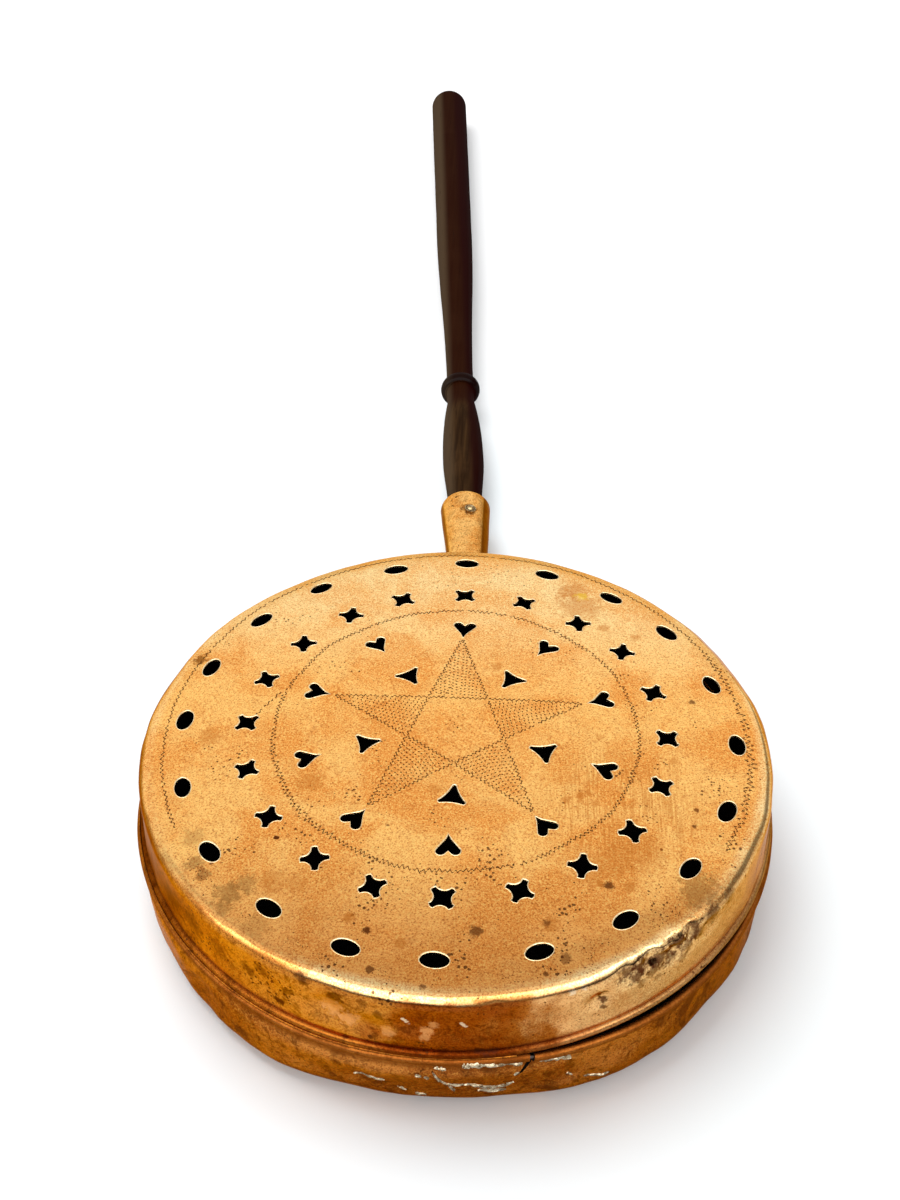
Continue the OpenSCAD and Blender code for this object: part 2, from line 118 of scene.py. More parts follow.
def cut_out(piece, cutter):
    """Takes the cutter's space away from a piece, and the cutter with it."""
    modifier = piece.modifiers.new("cut", "BOOLEAN")
    modifier.object = cutter
    modifier.solver = "EXACT"
    modifier.material_mode = "TRANSFER"
    scene_now = bpy.context.evaluated_depsgraph_get()
    cut = bpy.data.meshes.new_from_object(piece.evaluated_get(scene_now))
    piece.modifiers.clear()
    piece.data = cut
    cut.set_sharp_from_angle(angle=math.radians(35))
    bpy.data.objects.remove(cutter)


def bearing(point):
    """Where a point lies round the Z axis, in degrees."""
    return math.degrees(math.atan2(point.x, -point.y))


def rise(value, low, high):
    """A soft step from 0 at low to 1 at high."""
    t = min(max((value - low) / (high - low), 0), 1)
    return t * t * (3 - 2 * t)


def hump(value, middle, reach):
    """A soft swelling, 1 at its middle and 0 beyond its reach."""
    return rise(1 - abs(value - middle) / reach, 0, 1)


def ripple(point, size, depth):
    """The uneven surface that a hammer leaves, with hollows about as wide as size."""
    return depth * noise.noise(point / size)


def turned(degrees, axis="Z"):
    """A turn round an axis."""
    return Matrix.Rotation(math.radians(degrees), 4, axis)


def at_bearing(where, reach, height=0.0):
    """The point at a bearing, a distance from the axis and a height."""
    angle = math.radians(where)
    return Vector((math.sin(angle) * reach, -math.cos(angle) * reach, height))


def sunk(point, dents, side_r):
    """How deep the listed dents go at a point, on a side of some radius."""
    depth = 0
    for where, z, width, deep in dents:
        middle = at_bearing(where, side_r, z * mm)
        depth += deep * mm * rise(1 - (point - middle).length / (width * mm), 0, 1)
    return depth


# Each dent is a bearing, and in millimetres its height, its width and its depth.
pan_dents = [
    (-45, 23, 13, 1.2), (-44, 10, 8, 0.9), (-13, 20, 9, 1.0), (-8, 15, 12, 0.9), (5, 22, 8, 0.9),
    (21, 18, 6, 1.0), (25, 12, 7, 1.5), (29, 9, 6, 1.3), (36, 14, 9, 1.0),
]


def worn_pan(point):
    """Where a point of the newly made pan has got to."""
    around = bearing(point)
    outward = Vector((point.x, point.y, 0)).normalized()
    foot = 1 - rise(point.z, 10 * mm, 32 * mm)
    wall = rise(point.xy.length, 120 * mm, 147 * mm) * rise(180 - abs(around), 14, 30)
    stiff = rise(point.z, 28 * mm, 37 * mm)
    bulge = 1.25 * hump(around, 31, 21) + 0.5 * hump(around, 64, 16) + hump(around, -30, 22)
    push = foot * (foot_bulge * bulge - foot_push * hump(around, 0, 40))
    push += (1 - 0.75 * stiff) * (ripple(point, 26 * mm, 0.9 * mm) + ripple(point, 9 * mm, 0.3 * mm))
    push -= 1.5 * mm * hump(around, 92, 46) + 1.2 * mm * stiff * hump(around, 4, 30)
    snug = hump(around, -34, 62)
    push += snug * (0.9 * mm * rise(point.z, 14 * mm, 26 * mm) * (1 - stiff) - 0.9 * mm * stiff)
    push -= 0.3 * mm * stiff + sunk(point, pan_dents, pan_r)
    sag = rim_drop * rise(around, tear_bearing - 0.7, tear_bearing + 0.3) + rim_sag * rise(around, 20, 42)
    sag = sag * (1 - rise(around, 52, 70))
    return point + outward * push * wall - Vector((0, 0, sag * rise(point.z, 14 * mm, 37 * mm)))


def wear(bm, worn):
    """Moves every point of a new shell to where it has got to."""
    for vert in bm.verts:
        vert.co = worn(vert.co)


def blacken_inside(bm, middle_z, reached):
    """Gives the second material to the faces that look inward, at the heights that soot has reached."""
    middle = Vector((0, 0, middle_z))
    for face in bm.faces:
        centre = face.calc_center_median()
        looks_in = face.normal.dot(centre - middle) < 0
        face.material_index = int(looks_in and reached(centre.z))


def extruded(bm, faces, vec):
    """Draws faces out into a solid."""
    made = bmesh.ops.extrude_face_region(bm, geom=faces)
    drawn_out = [v for v in made["geom"] if isinstance(v, bmesh.types.BMVert)]
    bmesh.ops.translate(bm, verts=drawn_out, vec=vec)


bead_close = 180 - math.degrees(math.acos(sheet / bead_r))
pan_foot = (pan_foot_r - pan_corner, pan_corner)
pan_top = (pan_r, pan_rim_z)
pan_section = [(0, 0)] + line((0, 0), (pan_foot[0], 0), 14) + arc(pan_foot, pan_corner, -90, 0, 8)
pan_section += line((pan_foot_r, pan_corner), (pan_r, pan_rim_z - bead_r), 10)
pan_section += arc(pan_top, bead_r, -90, 360 - bead_close, 22)
pan_section += line((pan_r - sheet, pan_rim_z - bead_r), (pan_foot_r - sheet, pan_corner), 10)
pan_section += arc(pan_foot, pan_corner - sheet, 0, -90, 8)
pan_section += line((pan_foot[0], sheet), (0, sheet), 14) + [(0, sheet)]

bm = spun(pan_section, shell_turns)
wear(bm, worn_pan)
blacken_inside(bm, pan_rim_z / 2, lambda z: z < pan_rim_z - bead_r)


# Every copper piece shares one kind of surface: worn copper with brown clouds, pits and scratches.
def node(tree, kind, inputs=None, **settings):
    """A node with its settings, and its inputs set or joined to other sockets."""
    made = tree.nodes.new(kind)
    for name, value in settings.items():
        setattr(made, name, value)
    for name, value in (inputs or {}).items():
        if isinstance(value, bpy.types.NodeSocket):
            tree.links.new(value, made.inputs[name])
        else:
            made.inputs[name].default_value = value
    return made


def tree_of(*values):
    """The node tree of the first socket among some values."""
    return next(v.id_data for v in values if isinstance(v, bpy.types.NodeSocket))


def math_node(operation, a, b=0.0, clamp=False):
    settings = {"operation": operation, "use_clamp": clamp}
    return node(tree_of(a, b), "ShaderNodeMath", {0: a, 1: b}, **settings).outputs[0]


def plus(a, b, clamp=False):
    return math_node("ADD", a, b, clamp)


def minus(a, b):
    return math_node("SUBTRACT", a, b)


def times(a, b):
    return math_node("MULTIPLY", a, b)


def spread(value, low, high, to_low=0.0, to_high=1.0):
    """A value spread from one range to another, softly and within its ends."""
    inputs = {"Value": value, "From Min": low, "From Max": high, "To Min": to_low, "To Max": to_high}
    made = node(value.id_data, "ShaderNodeMapRange", inputs, interpolation_type="SMOOTHSTEP")
    return made.outputs["Result"]


def blended(factor, a, b, how="MIX"):
    """Colour a turning to colour b."""
    tree = tree_of(factor, a, b)
    settings = {"data_type": "RGBA", "blend_type": how}
    return node(tree, "ShaderNodeMix", {0: factor, 6: a, 7: b}, **settings).outputs[2]


def tinted(a, b):
    """Colour a as seen through colour b."""
    return blended(1.0, a, b, "MULTIPLY")


def ramp(factor, stops):
    """The colour that a factor has come to between stops, each a factor and a colour."""
    made = node(factor.id_data, "ShaderNodeValToRGB", {"Fac": factor})
    elements = made.color_ramp.elements
    elements[0].position = stops[0][0]
    elements[1].position = stops[-1][0]
    for position, tone in stops[1:-1]:
        elements.new(position)
    for element, (position, tone) in zip(elements, stops):
        element.color = (*tone, 1)
    return made.outputs["Color"]


def clouds(vector, scale, detail=4.0, roughness=0.55, distortion=0.0):
    """Soft noise between 0 and 1."""
    inputs = {
        "Vector": vector, "Scale": scale, "Detail": detail, "Roughness": roughness, "Distortion": distortion
    }
    return node(vector.id_data, "ShaderNodeTexNoise", inputs).outputs["Fac"]


def axes(vector):
    """A vector's three parts, called X, Y and Z."""
    return node(vector.id_data, "ShaderNodeSeparateXYZ", {"Vector": vector}).outputs


def mapped(vector, **how):
    """Coordinates that are moved, turned or stretched."""
    return node(vector.id_data, "ShaderNodeMapping", {"Vector": vector, **how}).outputs["Vector"]


def distance(a, b=(0, 0, 0)):
    return node(a.id_data, "ShaderNodeVectorMath", {0: a, 1: b}, operation="DISTANCE").outputs["Value"]


def feed(part, label, socket):
    """Joins a socket to an input of a node."""
    part.id_data.links.new(socket, part.inputs[label])


def group(name, takes, gives):
    """A node group with named inputs and outputs."""
    tree = bpy.data.node_groups.new(name, "ShaderNodeTree")
    for label, kind, value in takes:
        socket = tree.interface.new_socket(label, in_out="INPUT", socket_type=kind)
        if value is not None:
            socket.default_value = value
    for label, kind in gives:
        tree.interface.new_socket(label, in_out="OUTPUT", socket_type=kind)
    return tree, tree.nodes.new("NodeGroupInput").outputs, tree.nodes.new("NodeGroupOutput")


copper_gold = (1.0, 0.535, 0.155, 1)
copper_red = (0.88, 0.33, 0.065, 1)
copper_brown = (0.33, 0.095, 0.018, 1)
copper_at_edge = (0.88, 0.52, 0.27, 1)
pit_dark = (0.085, 0.024, 0.006, 1)
pale_speck = (1.0, 1.26, 1.3, 1)

worn_copper, given, result = group(
    "worn copper",
    [
        ("Vector", "NodeSocketVector", None),
        ("Polished", "NodeSocketColor", copper_gold),
        ("Deep", "NodeSocketColor", copper_red),
        ("Brown", "NodeSocketColor", copper_brown),
        ("Cloud size", "NodeSocketFloat", 30.0),
        ("Browned", "NodeSocketFloat", 0.3),
        ("Pitted", "NodeSocketFloat", 0.5),
        ("Gloss", "NodeSocketFloat", 0.25),
        ("Mottled", "NodeSocketFloat", 0.1),
    ],
    [("Color", "NodeSocketColor"), ("Roughness", "NodeSocketFloat"), ("Height", "NodeSocketFloat")],
)
place = given["Vector"]
broad = clouds(place, given["Cloud size"], 6.0, 0.6, 0.4)
fine = clouds(place, 420.0, 3.0, 0.6)
grainy = clouds(place, 1250.0, 2.0, 0.7)
tone = blended(spread(broad, 0.39, 0.60), given["Polished"], given["Deep"])
tone = blended(spread(fine, 0.43, 0.72, 0.0, 0.42), tone, given["Deep"])
tone = blended(spread(grainy, 0.49, 0.72, 0.0, 0.8), tone, given["Brown"])
tone = blended(spread(grainy, 0.51, 0.34, 0.0, 0.75), tone, tinted(given["Polished"], pale_speck))
mottle = spread(clouds(place, 210.0, 6.0, 0.72, 0.8), 0.47, 0.66)
tone = blended(times(mottle, given["Mottled"]), tone, given["Brown"])

# The browner the copper, the wider are its brown patches, which are also duller.
patches = clouds(place, times(given["Cloud size"], 1.7), 9.0, 0.68, 0.9)
patch_from = minus(0.78, times(given["Browned"], 0.36))
patched = spread(patches, patch_from, plus(patch_from, 0.13))
tone = blended(times(patched, 0.75), tone, given["Brown"])

# Pits have a wandering outline and lie in swarms.
wander = node(worn_copper, "ShaderNodeTexNoise", {"Vector": place, "Scale": 900.0, "Detail": 2.0})
inputs = {0: wander.outputs["Color"], 1: (0.9 * mm,) * 3, 2: place}
bent = node(worn_copper, "ShaderNodeVectorMath", inputs, operation="MULTIPLY_ADD").outputs[0]
cells = node(worn_copper, "ShaderNodeTexVoronoi", {"Vector": bent, "Scale": 430.0, "Randomness": 1.0})
swarm = spread(clouds(place, 42.0, 4.0, 0.6), 0.46, 0.70)
pit_reach = times(times(swarm, given["Pitted"]), 0.30)
pit = math_node("LESS_THAN", cells.outputs["Distance"], pit_reach)
tone = blended(times(pit, 0.85), tone, pit_dark)

scratch = clouds(mapped(place, Rotation=(0, 0, 0.6), Scale=(60, 1500, 60)), 1.0, 2.0, 0.5, 0.2)
scratch = spread(scratch, 0.66, 0.78)
rough = plus(given["Gloss"], spread(broad, 0.35, 0.7, -0.03, 0.08))
rough = plus(rough, times(patched, 0.16))
height = minus(times(fine, 0.7), times(pit, 0.8))
height = minus(height, times(scratch, 0.12))
feed(result, "Color", tone)
feed(result, "Roughness", plus(rough, times(scratch, 0.08), clamp=True))
feed(result, "Height", plus(height, times(grainy, 0.3)))


def new_material(name, metallic=0.0):
    """A material with its shader, and the object's own coordinates."""
    material = bpy.data.materials.new(name)
    material.use_nodes = True
    shader = material.node_tree.nodes["Principled BSDF"]
    shader.inputs["Metallic"].default_value = metallic
    spot = material.node_tree.nodes.new("ShaderNodeTexCoord").outputs["Object"]
    return material, shader, spot


def use_surface(shader, color, roughness, height, depth):
    """Joins a surface's colour, roughness and relief to the shader."""
    relief = node(shader.id_data, "ShaderNodeBump", {"Height": height, "Distance": depth, "Strength": 1.0})
    feed(shader, "Base Color", color)
    feed(shader, "Roughness", roughness)
    feed(shader, "Normal", relief.outputs["Normal"])


def copper(name, polished, deep, brown, cloud_size, darkened, pitted, gloss, depth, mottled=0.1):
    """A copper material: its tones from bright to brown, how worn it is, and its relief's depth."""
    material, shader, spot = new_material(name, 1.0)
    shader.inputs["Specular Tint"].default_value = copper_at_edge
    inputs = {
        "Vector": spot, "Polished": polished, "Deep": deep, "Brown": brown, "Cloud size": cloud_size,
        "Browned": darkened, "Pitted": pitted, "Gloss": gloss, "Mottled": mottled,
    }
    surface = node(material.node_tree, "ShaderNodeGroup", inputs, node_tree=worn_copper).outputs
    use_surface(shader, surface["Color"], surface["Roughness"], surface["Height"], depth)
    return material


def parts_of(material):
    """A copper material's shader, its surface and the object's own coordinates."""
    nodes = material.node_tree.nodes
    surface = next(n for n in nodes if n.type == "GROUP")
    return nodes["Principled BSDF"], surface, surface.inputs["Vector"].links[0].from_socket


def speckled(name, metallic, grain, edges, tones, gloss, depth, specular=0.5):
    """A material in fine clouds of two tones, from smoother in the first to duller in the second."""
    material, shader, spot = new_material(name, metallic)
    specks = clouds(spot, *grain)
    tone = blended(spread(specks, *edges), *tones)
    use_surface(shader, tone, spread(specks, 0.3, 0.7, *gloss), specks, depth)
    shader.inputs["Specular IOR Level"].default_value = specular
    return material


pan_copper = copper(
    "pan copper", (0.66, 0.23, 0.045, 1), (0.42, 0.115, 0.018, 1), (0.11, 0.027, 0.006, 1),
    24.0, 0.75, 1.0, 0.30, 0.25 * mm, 0.75,
)

ember_black = speckled(
    "ember black", 0.0, (60.0, 6.0, 0.65), (0.5, 0.75),
    [(0.003, 0.0022, 0.002, 1), (0.016, 0.008, 0.005, 1)], (0.6, 0.9), 0.3 * mm, 0.1,
)

# The rolled edge is painted browner than the wall, as painted shade that dims its reflection of the
# bright ceiling, and it is rougher.
shader, surface, place = parts_of(pan_copper)
at_bead = spread(axes(place)["Z"], 31.5 * mm, 34 * mm, 0.0, 0.72)
feed(shader, "Base Color", blended(at_bead, surface.outputs["Color"], (0.20, 0.052, 0.006, 1)))
feed(shader, "Roughness", plus(surface.outputs["Roughness"], times(at_bead, 0.2)))
pan_shell = finished(bm, "pan_shell", [pan_copper, ember_black])

# The tear is a crack that opens at the rim and runs down to the left.
outward = at_bearing(tear_bearing, 1)
across = Vector((-outward.y, outward.x, 0))
tear_depth = 16 * mm
tear_start = at_bearing(tear_bearing, pan_r - tear_depth / 2, pan_rim_z)
bm = bmesh.new()
corners = [bm.verts.new(tear_start + (across * x + Vector((0, 0, z))) * mm) for x, z in tear_outline]
extruded(bm, [bm.faces.new(corners)], outward * tear_depth)
bmesh.ops.recalc_face_normals(bm, faces=bm.faces)
cut_out(pan_shell, finished(bm, "tear", [ember_black]))

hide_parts("pan")
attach(pan_shell, "pan_body")

# The wire is bent down with the rim that holds it.
iron = speckled(
    "rusty iron", 0.6, (180.0, 6.0, 0.65), (0.4, 0.65),
    [(0.09, 0.075, 0.065, 1), (0.16, 0.06, 0.025, 1)], (0.4, 0.8), 0.15 * mm,
)


def rim_wire(name, node_name, ring_r, ring_z, worn, body):
    """A wire inside a shell's rolled edge, bent as the shell is."""
    bm = spun(arc((ring_r, ring_z), wire_r * 0.98, 0, 345, 23), shell_turns, closed=True)
    wear(bm, worn)
    wire = finished(bm, name, [iron])
    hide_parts(node_name)
    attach(wire, body)


rim_wire("pan_wire", "pan_rim_wire", pan_r, pan_rim_z, worn_pan, "pan_body")


# ---- the solder on the pan ----
# The torn rim was once mended with soft solder, which has run along the bead and down the wall.
# It is grey tin, lumpy where it was left thick and feathered out where it was wiped.


def pan_side(height):
    """Distance from the axis to the pan's outside at a height, over its bead too."""
    share = (height - pan_corner) / (pan_rim_z - pan_corner)
    wall = pan_foot_r + (pan_r - pan_foot_r) * min(share, 1)
    if height < pan_corner:
        wall = pan_foot[0] + math.sqrt(pan_corner**2 - (pan_corner - height) ** 2)
    off_bead = height - pan_rim_z
    if abs(off_bead) < bead_r:
        wall = max(wall, pan_r + math.sqrt(bead_r**2 - off_bead**2))
    return wall


solder_tin = speckled(
    "solder", 1.0, (420.0, 6.0, 0.7), (0.40, 0.62),
    [(0.60, 0.50, 0.34, 1), (0.16, 0.10, 0.05, 1)], (0.3, 0.55), 0.3 * mm,
)


def pan_point(where, height, above):
    """A place on the pan's side, or a little off it, by its bearing and height."""
    return worn_pan(at_bearing(where, pan_side(height), height)) + at_bearing(where, above)


def solder(name, runs, half_width, thick):
    """Runs of solder, each through places that are a bearing and a height in millimetres."""
    degree = math.radians(1) * pan_r / mm
    bm = bmesh.new()
    for number, run in enumerate(runs):
        strip = bmesh.ops.create_grid(bm, x_segments=8 * len(run), y_segments=8, size=0.5)["verts"]
        shift = Vector((number * 7.0, 0, 0))
        for vert in strip:
            along = (vert.co.x + 0.5) * (len(run) - 1)
            side = vert.co.y * 2
            i = min(int(along), len(run) - 2)
            turn, climb = run[i + 1][0] - run[i][0], run[i + 1][1] - run[i][1]
            heading = Vector((turn * degree, climb)).normalized()
            lump = noise.noise(Vector((along * 2.1, side * 1.3, 0)) + shift)
            ragged = noise.noise(Vector((along * 3.1, 5 * (side > 0), 3)) + shift)
            taper = math.sqrt(max(0.02, 1 - (2 * abs(vert.co.x)) ** 4))
            off = side * half_width * taper * (0.8 + 0.75 * ragged)
            where = run[i][0] + turn * (along - i) - off * heading.y / degree
            height = run[i][1] + climb * (along - i) + off * heading.x
            deep = thick * (1 - side**2) * (0.75 + 0.9 * lump) - 0.12
            vert.co = pan_point(where, height * mm, deep * mm)
    bmesh.ops.recalc_face_normals(bm, faces=bm.faces)
    for face in bm.faces:
        centre = face.calc_center_median()
        if face.normal.dot(Vector((centre.x, centre.y, 0))) < 0:
            face.normal_flip()
    bmesh.ops.solidify(bm, geom=bm.faces, thickness=0.4 * mm)
    piece = finished(bm, name, [solder_tin], 60)
    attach(piece, "pan_body")


rim_runs = [
    [(4.0, 37.0), (5.3, 37.6), (7.0, 37.0), (9.1, 36.5), (11.2, 36.0), (13.1, 35.4)],
    [(3.8, 37.1), (4.6, 37.4), (5.4, 37.2)],
    [(11.4, 35.4), (12.4, 34.8), (13.4, 34.3)],
    [(15.9, 36.0), (17.6, 35.2), (19.6, 34.2), (21.4, 33.2)],
]
wall_runs = [
    [
        (-0.8, 31.5), (-0.3, 28.5), (0.4, 25.3), (1.2, 23.2), (2.6, 21.9), (3.8, 20.8), (5.4, 20.3),
        (6.9, 19.4), (8.7, 16.6),
    ],
    [(1.7, 20.8), (2.3, 17.5), (2.6, 15.1)],
    [(-0.6, 33.8), (0.4, 33.6), (1.3, 33.1)],
    [(-13.9, 19.6), (-12.6, 21.4), (-10.6, 21.9), (-8.6, 20.2)],
    [(-6.8, 14.0), (-5.2, 12.8)],
    [(-3.8, 11.2), (-2.0, 10.2)],
    [(-3.6, 28.5), (-2.6, 28.0)],
    [(-2.2, 27.4), (-1.4, 26.8)],
    [(12.9, 28.9), (12.1, 27.2)],
    [(21.0, 18.8), (22.0, 17.0)],
    [(24.0, 13.4), (25.4, 11.8), (27.0, 11.0), (28.6, 10.2)],
]
low_runs = [
    [(5.4, 19.6), (7.4, 17.8), (9.2, 17.1), (11.0, 17.9), (12.2, 20.4)],
    [(6.4, 15.4), (8.6, 14.0), (11.0, 14.2)],
]
solder("rim_solder", rim_runs, 2.1, 1.1)
solder("wall_solder", wall_runs, 1.15, 0.75)
solder("low_solder", low_runs, 1.9, 0.75)

# Old polish has packed into the seam between the two beads, but not where the lid gapes on the
# right, nor behind, where it is hinged.
grime_copper = copper(
    "seam grime", (0.42, 0.13, 0.015, 1), (0.24, 0.06, 0.008, 1), (0.07, 0.02, 0.005, 1),
    60.0, 0.5, 0.5, 0.45, 0.2 * mm, 0.6,
)
seam_r, seam_z, grime_r = pan_r + 0.5 * mm, pan_rim_z + 2.55 * mm, 0.65 * mm
bm = spun(arc((seam_r, seam_z), grime_r, 0, 330, 11), shell_turns, closed=True)
wear(bm, worn_pan)
clean = []
for face in bm.faces:
    around = bearing(face.calc_center_median())
    if 12 < around < 76 or abs(around) > 160:
        clean.append(face)
bmesh.ops.delete(bm, geom=clean, context="FACES")
bmesh.ops.holes_fill(bm, edges=bm.edges)
seam = finished(bm, "seam_grime", [grime_copper])
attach(seam, "pan_body")


# ---- the lid ----
# The lid is raised from sheet copper and planished to a low crown, with its own wired edge.
# It was polished far more often than the pan, so its top is bright and its skirt dented and brown.
# The skirt's brown is partly tarnish and partly painted reflection.

lid_wire_low, lid_wire_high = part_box("lid_rim_wire")
lid_low_r = lid_wire_high.x - wire_r
lid_rim_z = (lid_wire_low.z + lid_wire_high.z) / 2
lid_top_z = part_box("lid")[1].z
lid_top_r = lid_low_r - 1 * mm
lid_edge_r = 6 * mm
crown_h = 7.4 * mm
top_flat_r = lid_top_r - lid_edge_r
crown_r = (top_flat_r**2 + crown_h**2) / (2 * crown_h)
crown_z = lid_top_z - crown_r
lid_edge_z = crown_z + math.sqrt((crown_r - lid_edge_r) ** 2 - top_flat_r**2)
crown_angle = math.degrees(math.acos(top_flat_r / (crown_r - lid_edge_r)))
lid_edge = (top_flat_r, lid_edge_z)

lid_dents = [
    (-52, 57, 14, 0.7), (-30, 58, 12, 0.6), (-18, 60, 9, 1.2), (-11, 55, 11, 1.4), (-4, 60, 8, 0.9),
    (9, 72, 6, 0.9), (18, 56, 13, 0.8), (26, 62, 7, 1.6), (31, 69, 7, 1.5), (36, 71, 7, 1.8),
    (40, 67, 7, 1.6), (45, 72, 6, 1.5), (49, 66, 8, 1.0),
]


def worn_lid(point):
    """Where a point of the newly made lid has got to."""
    around = bearing(point)
    reach = point.xy.length
    outward = Vector((point.x, point.y, 0)).normalized() if reach > 0 else Vector()
    hinge_free = rise(180 - abs(around), 12, 26)
    skirt = rise(reach, 140 * mm, 149 * mm) * hinge_free
    stiff = 1 - rise(point.z, 42 * mm, 50 * mm)
    push = (1 - 0.8 * stiff) * (ripple(point, 34 * mm, 0.9 * mm) + ripple(point, 13 * mm, 0.42 * mm))
    push -= 0.35 * mm * stiff + 0.3 * mm + sunk(point, lid_dents, lid_top_r)
    crumpled = hump(around, 39, 13) * rise(point.z, 60 * mm, 68 * mm)
    push -= crumpled * (0.5 * mm + ripple(point, 4.5 * mm, 1.3 * mm))
    knocked = rise(abs(around), 72, 125) * (1 - 0.5 * hump(around, -122, 24)) + 0.4 * hump(around, 34, 26)
    in_at_top = 2.8 * mm * knocked * rise(point.z, 66 * mm, 75 * mm) * rise(reach, 140 * mm, 149 * mm)
    top = 1 - rise(reach, 134 * mm, 146 * mm)
    lift = top * (ripple(point, 48 * mm, 0.35 * mm) + ripple(point, 17 * mm, 0.05 * mm))
    lift -= top * 0.4 * mm * (1 - rise(reach, 50 * mm, 100 * mm))
    corner = rise(reach, 132 * mm, 145 * mm) * rise(point.z, 66 * mm, 74 * mm)
    lift -= (0.1 + 2.2 * knocked) * mm * corner
    lift -= 0.22 * mm * (1 - rise(point.z, 44 * mm, 60 * mm)) * hinge_free
    sprung = 0.7 * mm * hump(around, 44, 30) * (1 - rise(point.z, 44 * mm, 62 * mm))
    return point + outward * (push * skirt - in_at_top) + Vector((0, 0, lift + sprung))


lid_section = [(0, lid_top_z)] + arc((0, crown_z), crown_r, 90, crown_angle, 40)[1:]
lid_section += arc(lid_edge, lid_edge_r, crown_angle, 0, 18)[1:]
lid_section += line((lid_top_r, lid_edge_z), (lid_low_r, lid_rim_z + bead_r), 16)
lid_section += arc((lid_low_r, lid_rim_z), bead_r, 90, bead_close - 360, 22)
lid_section += line((lid_low_r - sheet, lid_rim_z + bead_r), (lid_top_r - sheet, lid_edge_z), 9)
lid_section += arc(lid_edge, lid_edge_r - sheet, 0, crown_angle, 10)
lid_section += arc((0, crown_z), crown_r - sheet, crown_angle, 90, 24)[1:]

bm = spun(lid_section, shell_turns)
wear(bm, worn_lid)
blacken_inside(bm, lid_rim_z, lambda z: z > lid_rim_z + bead_r)

# The top is gold and mottled, and more thickly speckled in front. It is painted paler behind and more
# orange in front, as painted reflection of the brighter and darker parts of the room.
lid_copper = copper(
    "lid copper", copper_gold, copper_red, copper_brown, 24.0, 0.30, 0.6, 0.16, 0.06 * mm, 0.16,
)
shader, surface, place = parts_of(lid_copper)
plan = axes(place)
painted_front_reflection = spread(plan["Y"], -70 * mm, -125 * mm)
painted_back_reflection = spread(plan["Y"], 15 * mm, 125 * mm)
feed(surface, "Pitted", spread(plan["Y"], 40 * mm, -110 * mm, 0.75, 1.2))

# Round the skirt the colour changes: brown at the far left, orange, dark at the front, and bright on
# the right. It is partly the polish's real tarnish and partly painted reflection, above all the dark
# front and the bright right. Each stop is a bearing and a colour.
skirt_tones = [
    (-130, (0.34, 0.085, 0.006)),
    (-62, (0.36, 0.095, 0.007)),
    (-46, (0.78, 0.27, 0.030)),
    (-20, (0.76, 0.27, 0.040)),
    (-12, (0.70, 0.25, 0.038)),
    (-5, (0.42, 0.094, 0.010)),
    (6, (0.36, 0.074, 0.007)),
    (13, (0.50, 0.15, 0.025)),
    (21, (0.92, 0.46, 0.17)),
    (34, (1.0, 0.60, 0.25)),
    (60, (1.0, 0.60, 0.25)),
    (95, (0.85, 0.42, 0.14)),
    (130, (0.50, 0.16, 0.02)),
]
round_lid = math_node("ARCTAN2", plan["X"], times(plan["Y"], -1.0))
uneven = times(clouds(place, 60.0, 4.0), 0.10)
# On the ramps the front is at a half. The unevenness adds 0.05 on average.
round_lid = plus(plus(math_node("DIVIDE", round_lid, math.tau), uneven), 0.45)
skirt_polish_and_reflection = ramp(round_lid, [(where / 360 + 0.5, tone) for where, tone in skirt_tones])
wavy = times(clouds(place, 90.0, 3.0), 2 * mm)
on_skirt = spread(plus(plan["Z"], wavy), 75.2 * mm, 74.2 * mm)
darker = {"Polished": (1, 1, 1, 1), "Deep": (0.74, 0.64, 0.54, 1), "Brown": (0.26, 0.19, 0.15, 1)}
top_and_reflection_tones = {
    "Polished": (copper_gold, (0.90, 0.40, 0.105, 1), (0.98, 0.70, 0.33, 1)),
    "Deep": (copper_red, (0.76, 0.27, 0.052, 1), (0.93, 0.48, 0.16, 1)),
    "Brown": (copper_brown, (0.28, 0.075, 0.012, 1), (0.50, 0.19, 0.05, 1)),
}
reach = distance(mapped(place, Scale=(1, 1, 0)))
reach = plus(reach, times(clouds(place, 45.0, 4.0), 3 * mm))

# How strong the painted highlight on the lid's rounded edge is, by bearing. Where it is strong the edge
# is painted pale as a painted highlight, and where it is weak its outer rim is painted dark as painted
# shade. The pale edge is partly also real rubbed polish.
edge_shine = [
    (-130, 0.8), (-95, 0.35), (-75, 0.15), (-29, 0.05), (-22, 0.55), (-16, 1.0), (-4, 0.9), (2, 0.3),
    (13, 0.2), (18, 0.6), (25, 1.0), (42, 1.0), (48, 0.5), (62, 0.6), (76, 1.0), (130, 0.8),
]
shine = ramp(round_lid, [(where / 360 + 0.5, (much,) * 3) for where, much in edge_shine])
painted_edge_highlight = times(spread(reach, 142 * mm, 147 * mm), shine)
painted_edge_shade = times(minus(1.0, shine), spread(reach, 148.2 * mm, 149.8 * mm))
at_bead = spread(plan["Z"], 46.2 * mm, 45 * mm)
gloss = plus(0.15, times(painted_edge_shade, 0.2))
feed(surface, "Gloss", plus(gloss, times(at_bead, 0.2)))
mottled_more = spread(plan["X"], 12 * mm, 50 * mm, 0.6, 0.1)
feed(surface, "Mottled", plus(0.16, times(on_skirt, mottled_more)))
edge_highlight_tones = {
    "Polished": (0.98, 0.70, 0.34, 1),
    "Deep": (0.95, 0.55, 0.20, 1),
    "Brown": (0.50, 0.19, 0.05, 1),
}
edge_shade_tones = {
    "Polished": (0.34, 0.115, 0.018, 1),
    "Deep": (0.22, 0.065, 0.008, 1),
    "Brown": (0.10, 0.026, 0.004, 1),
}
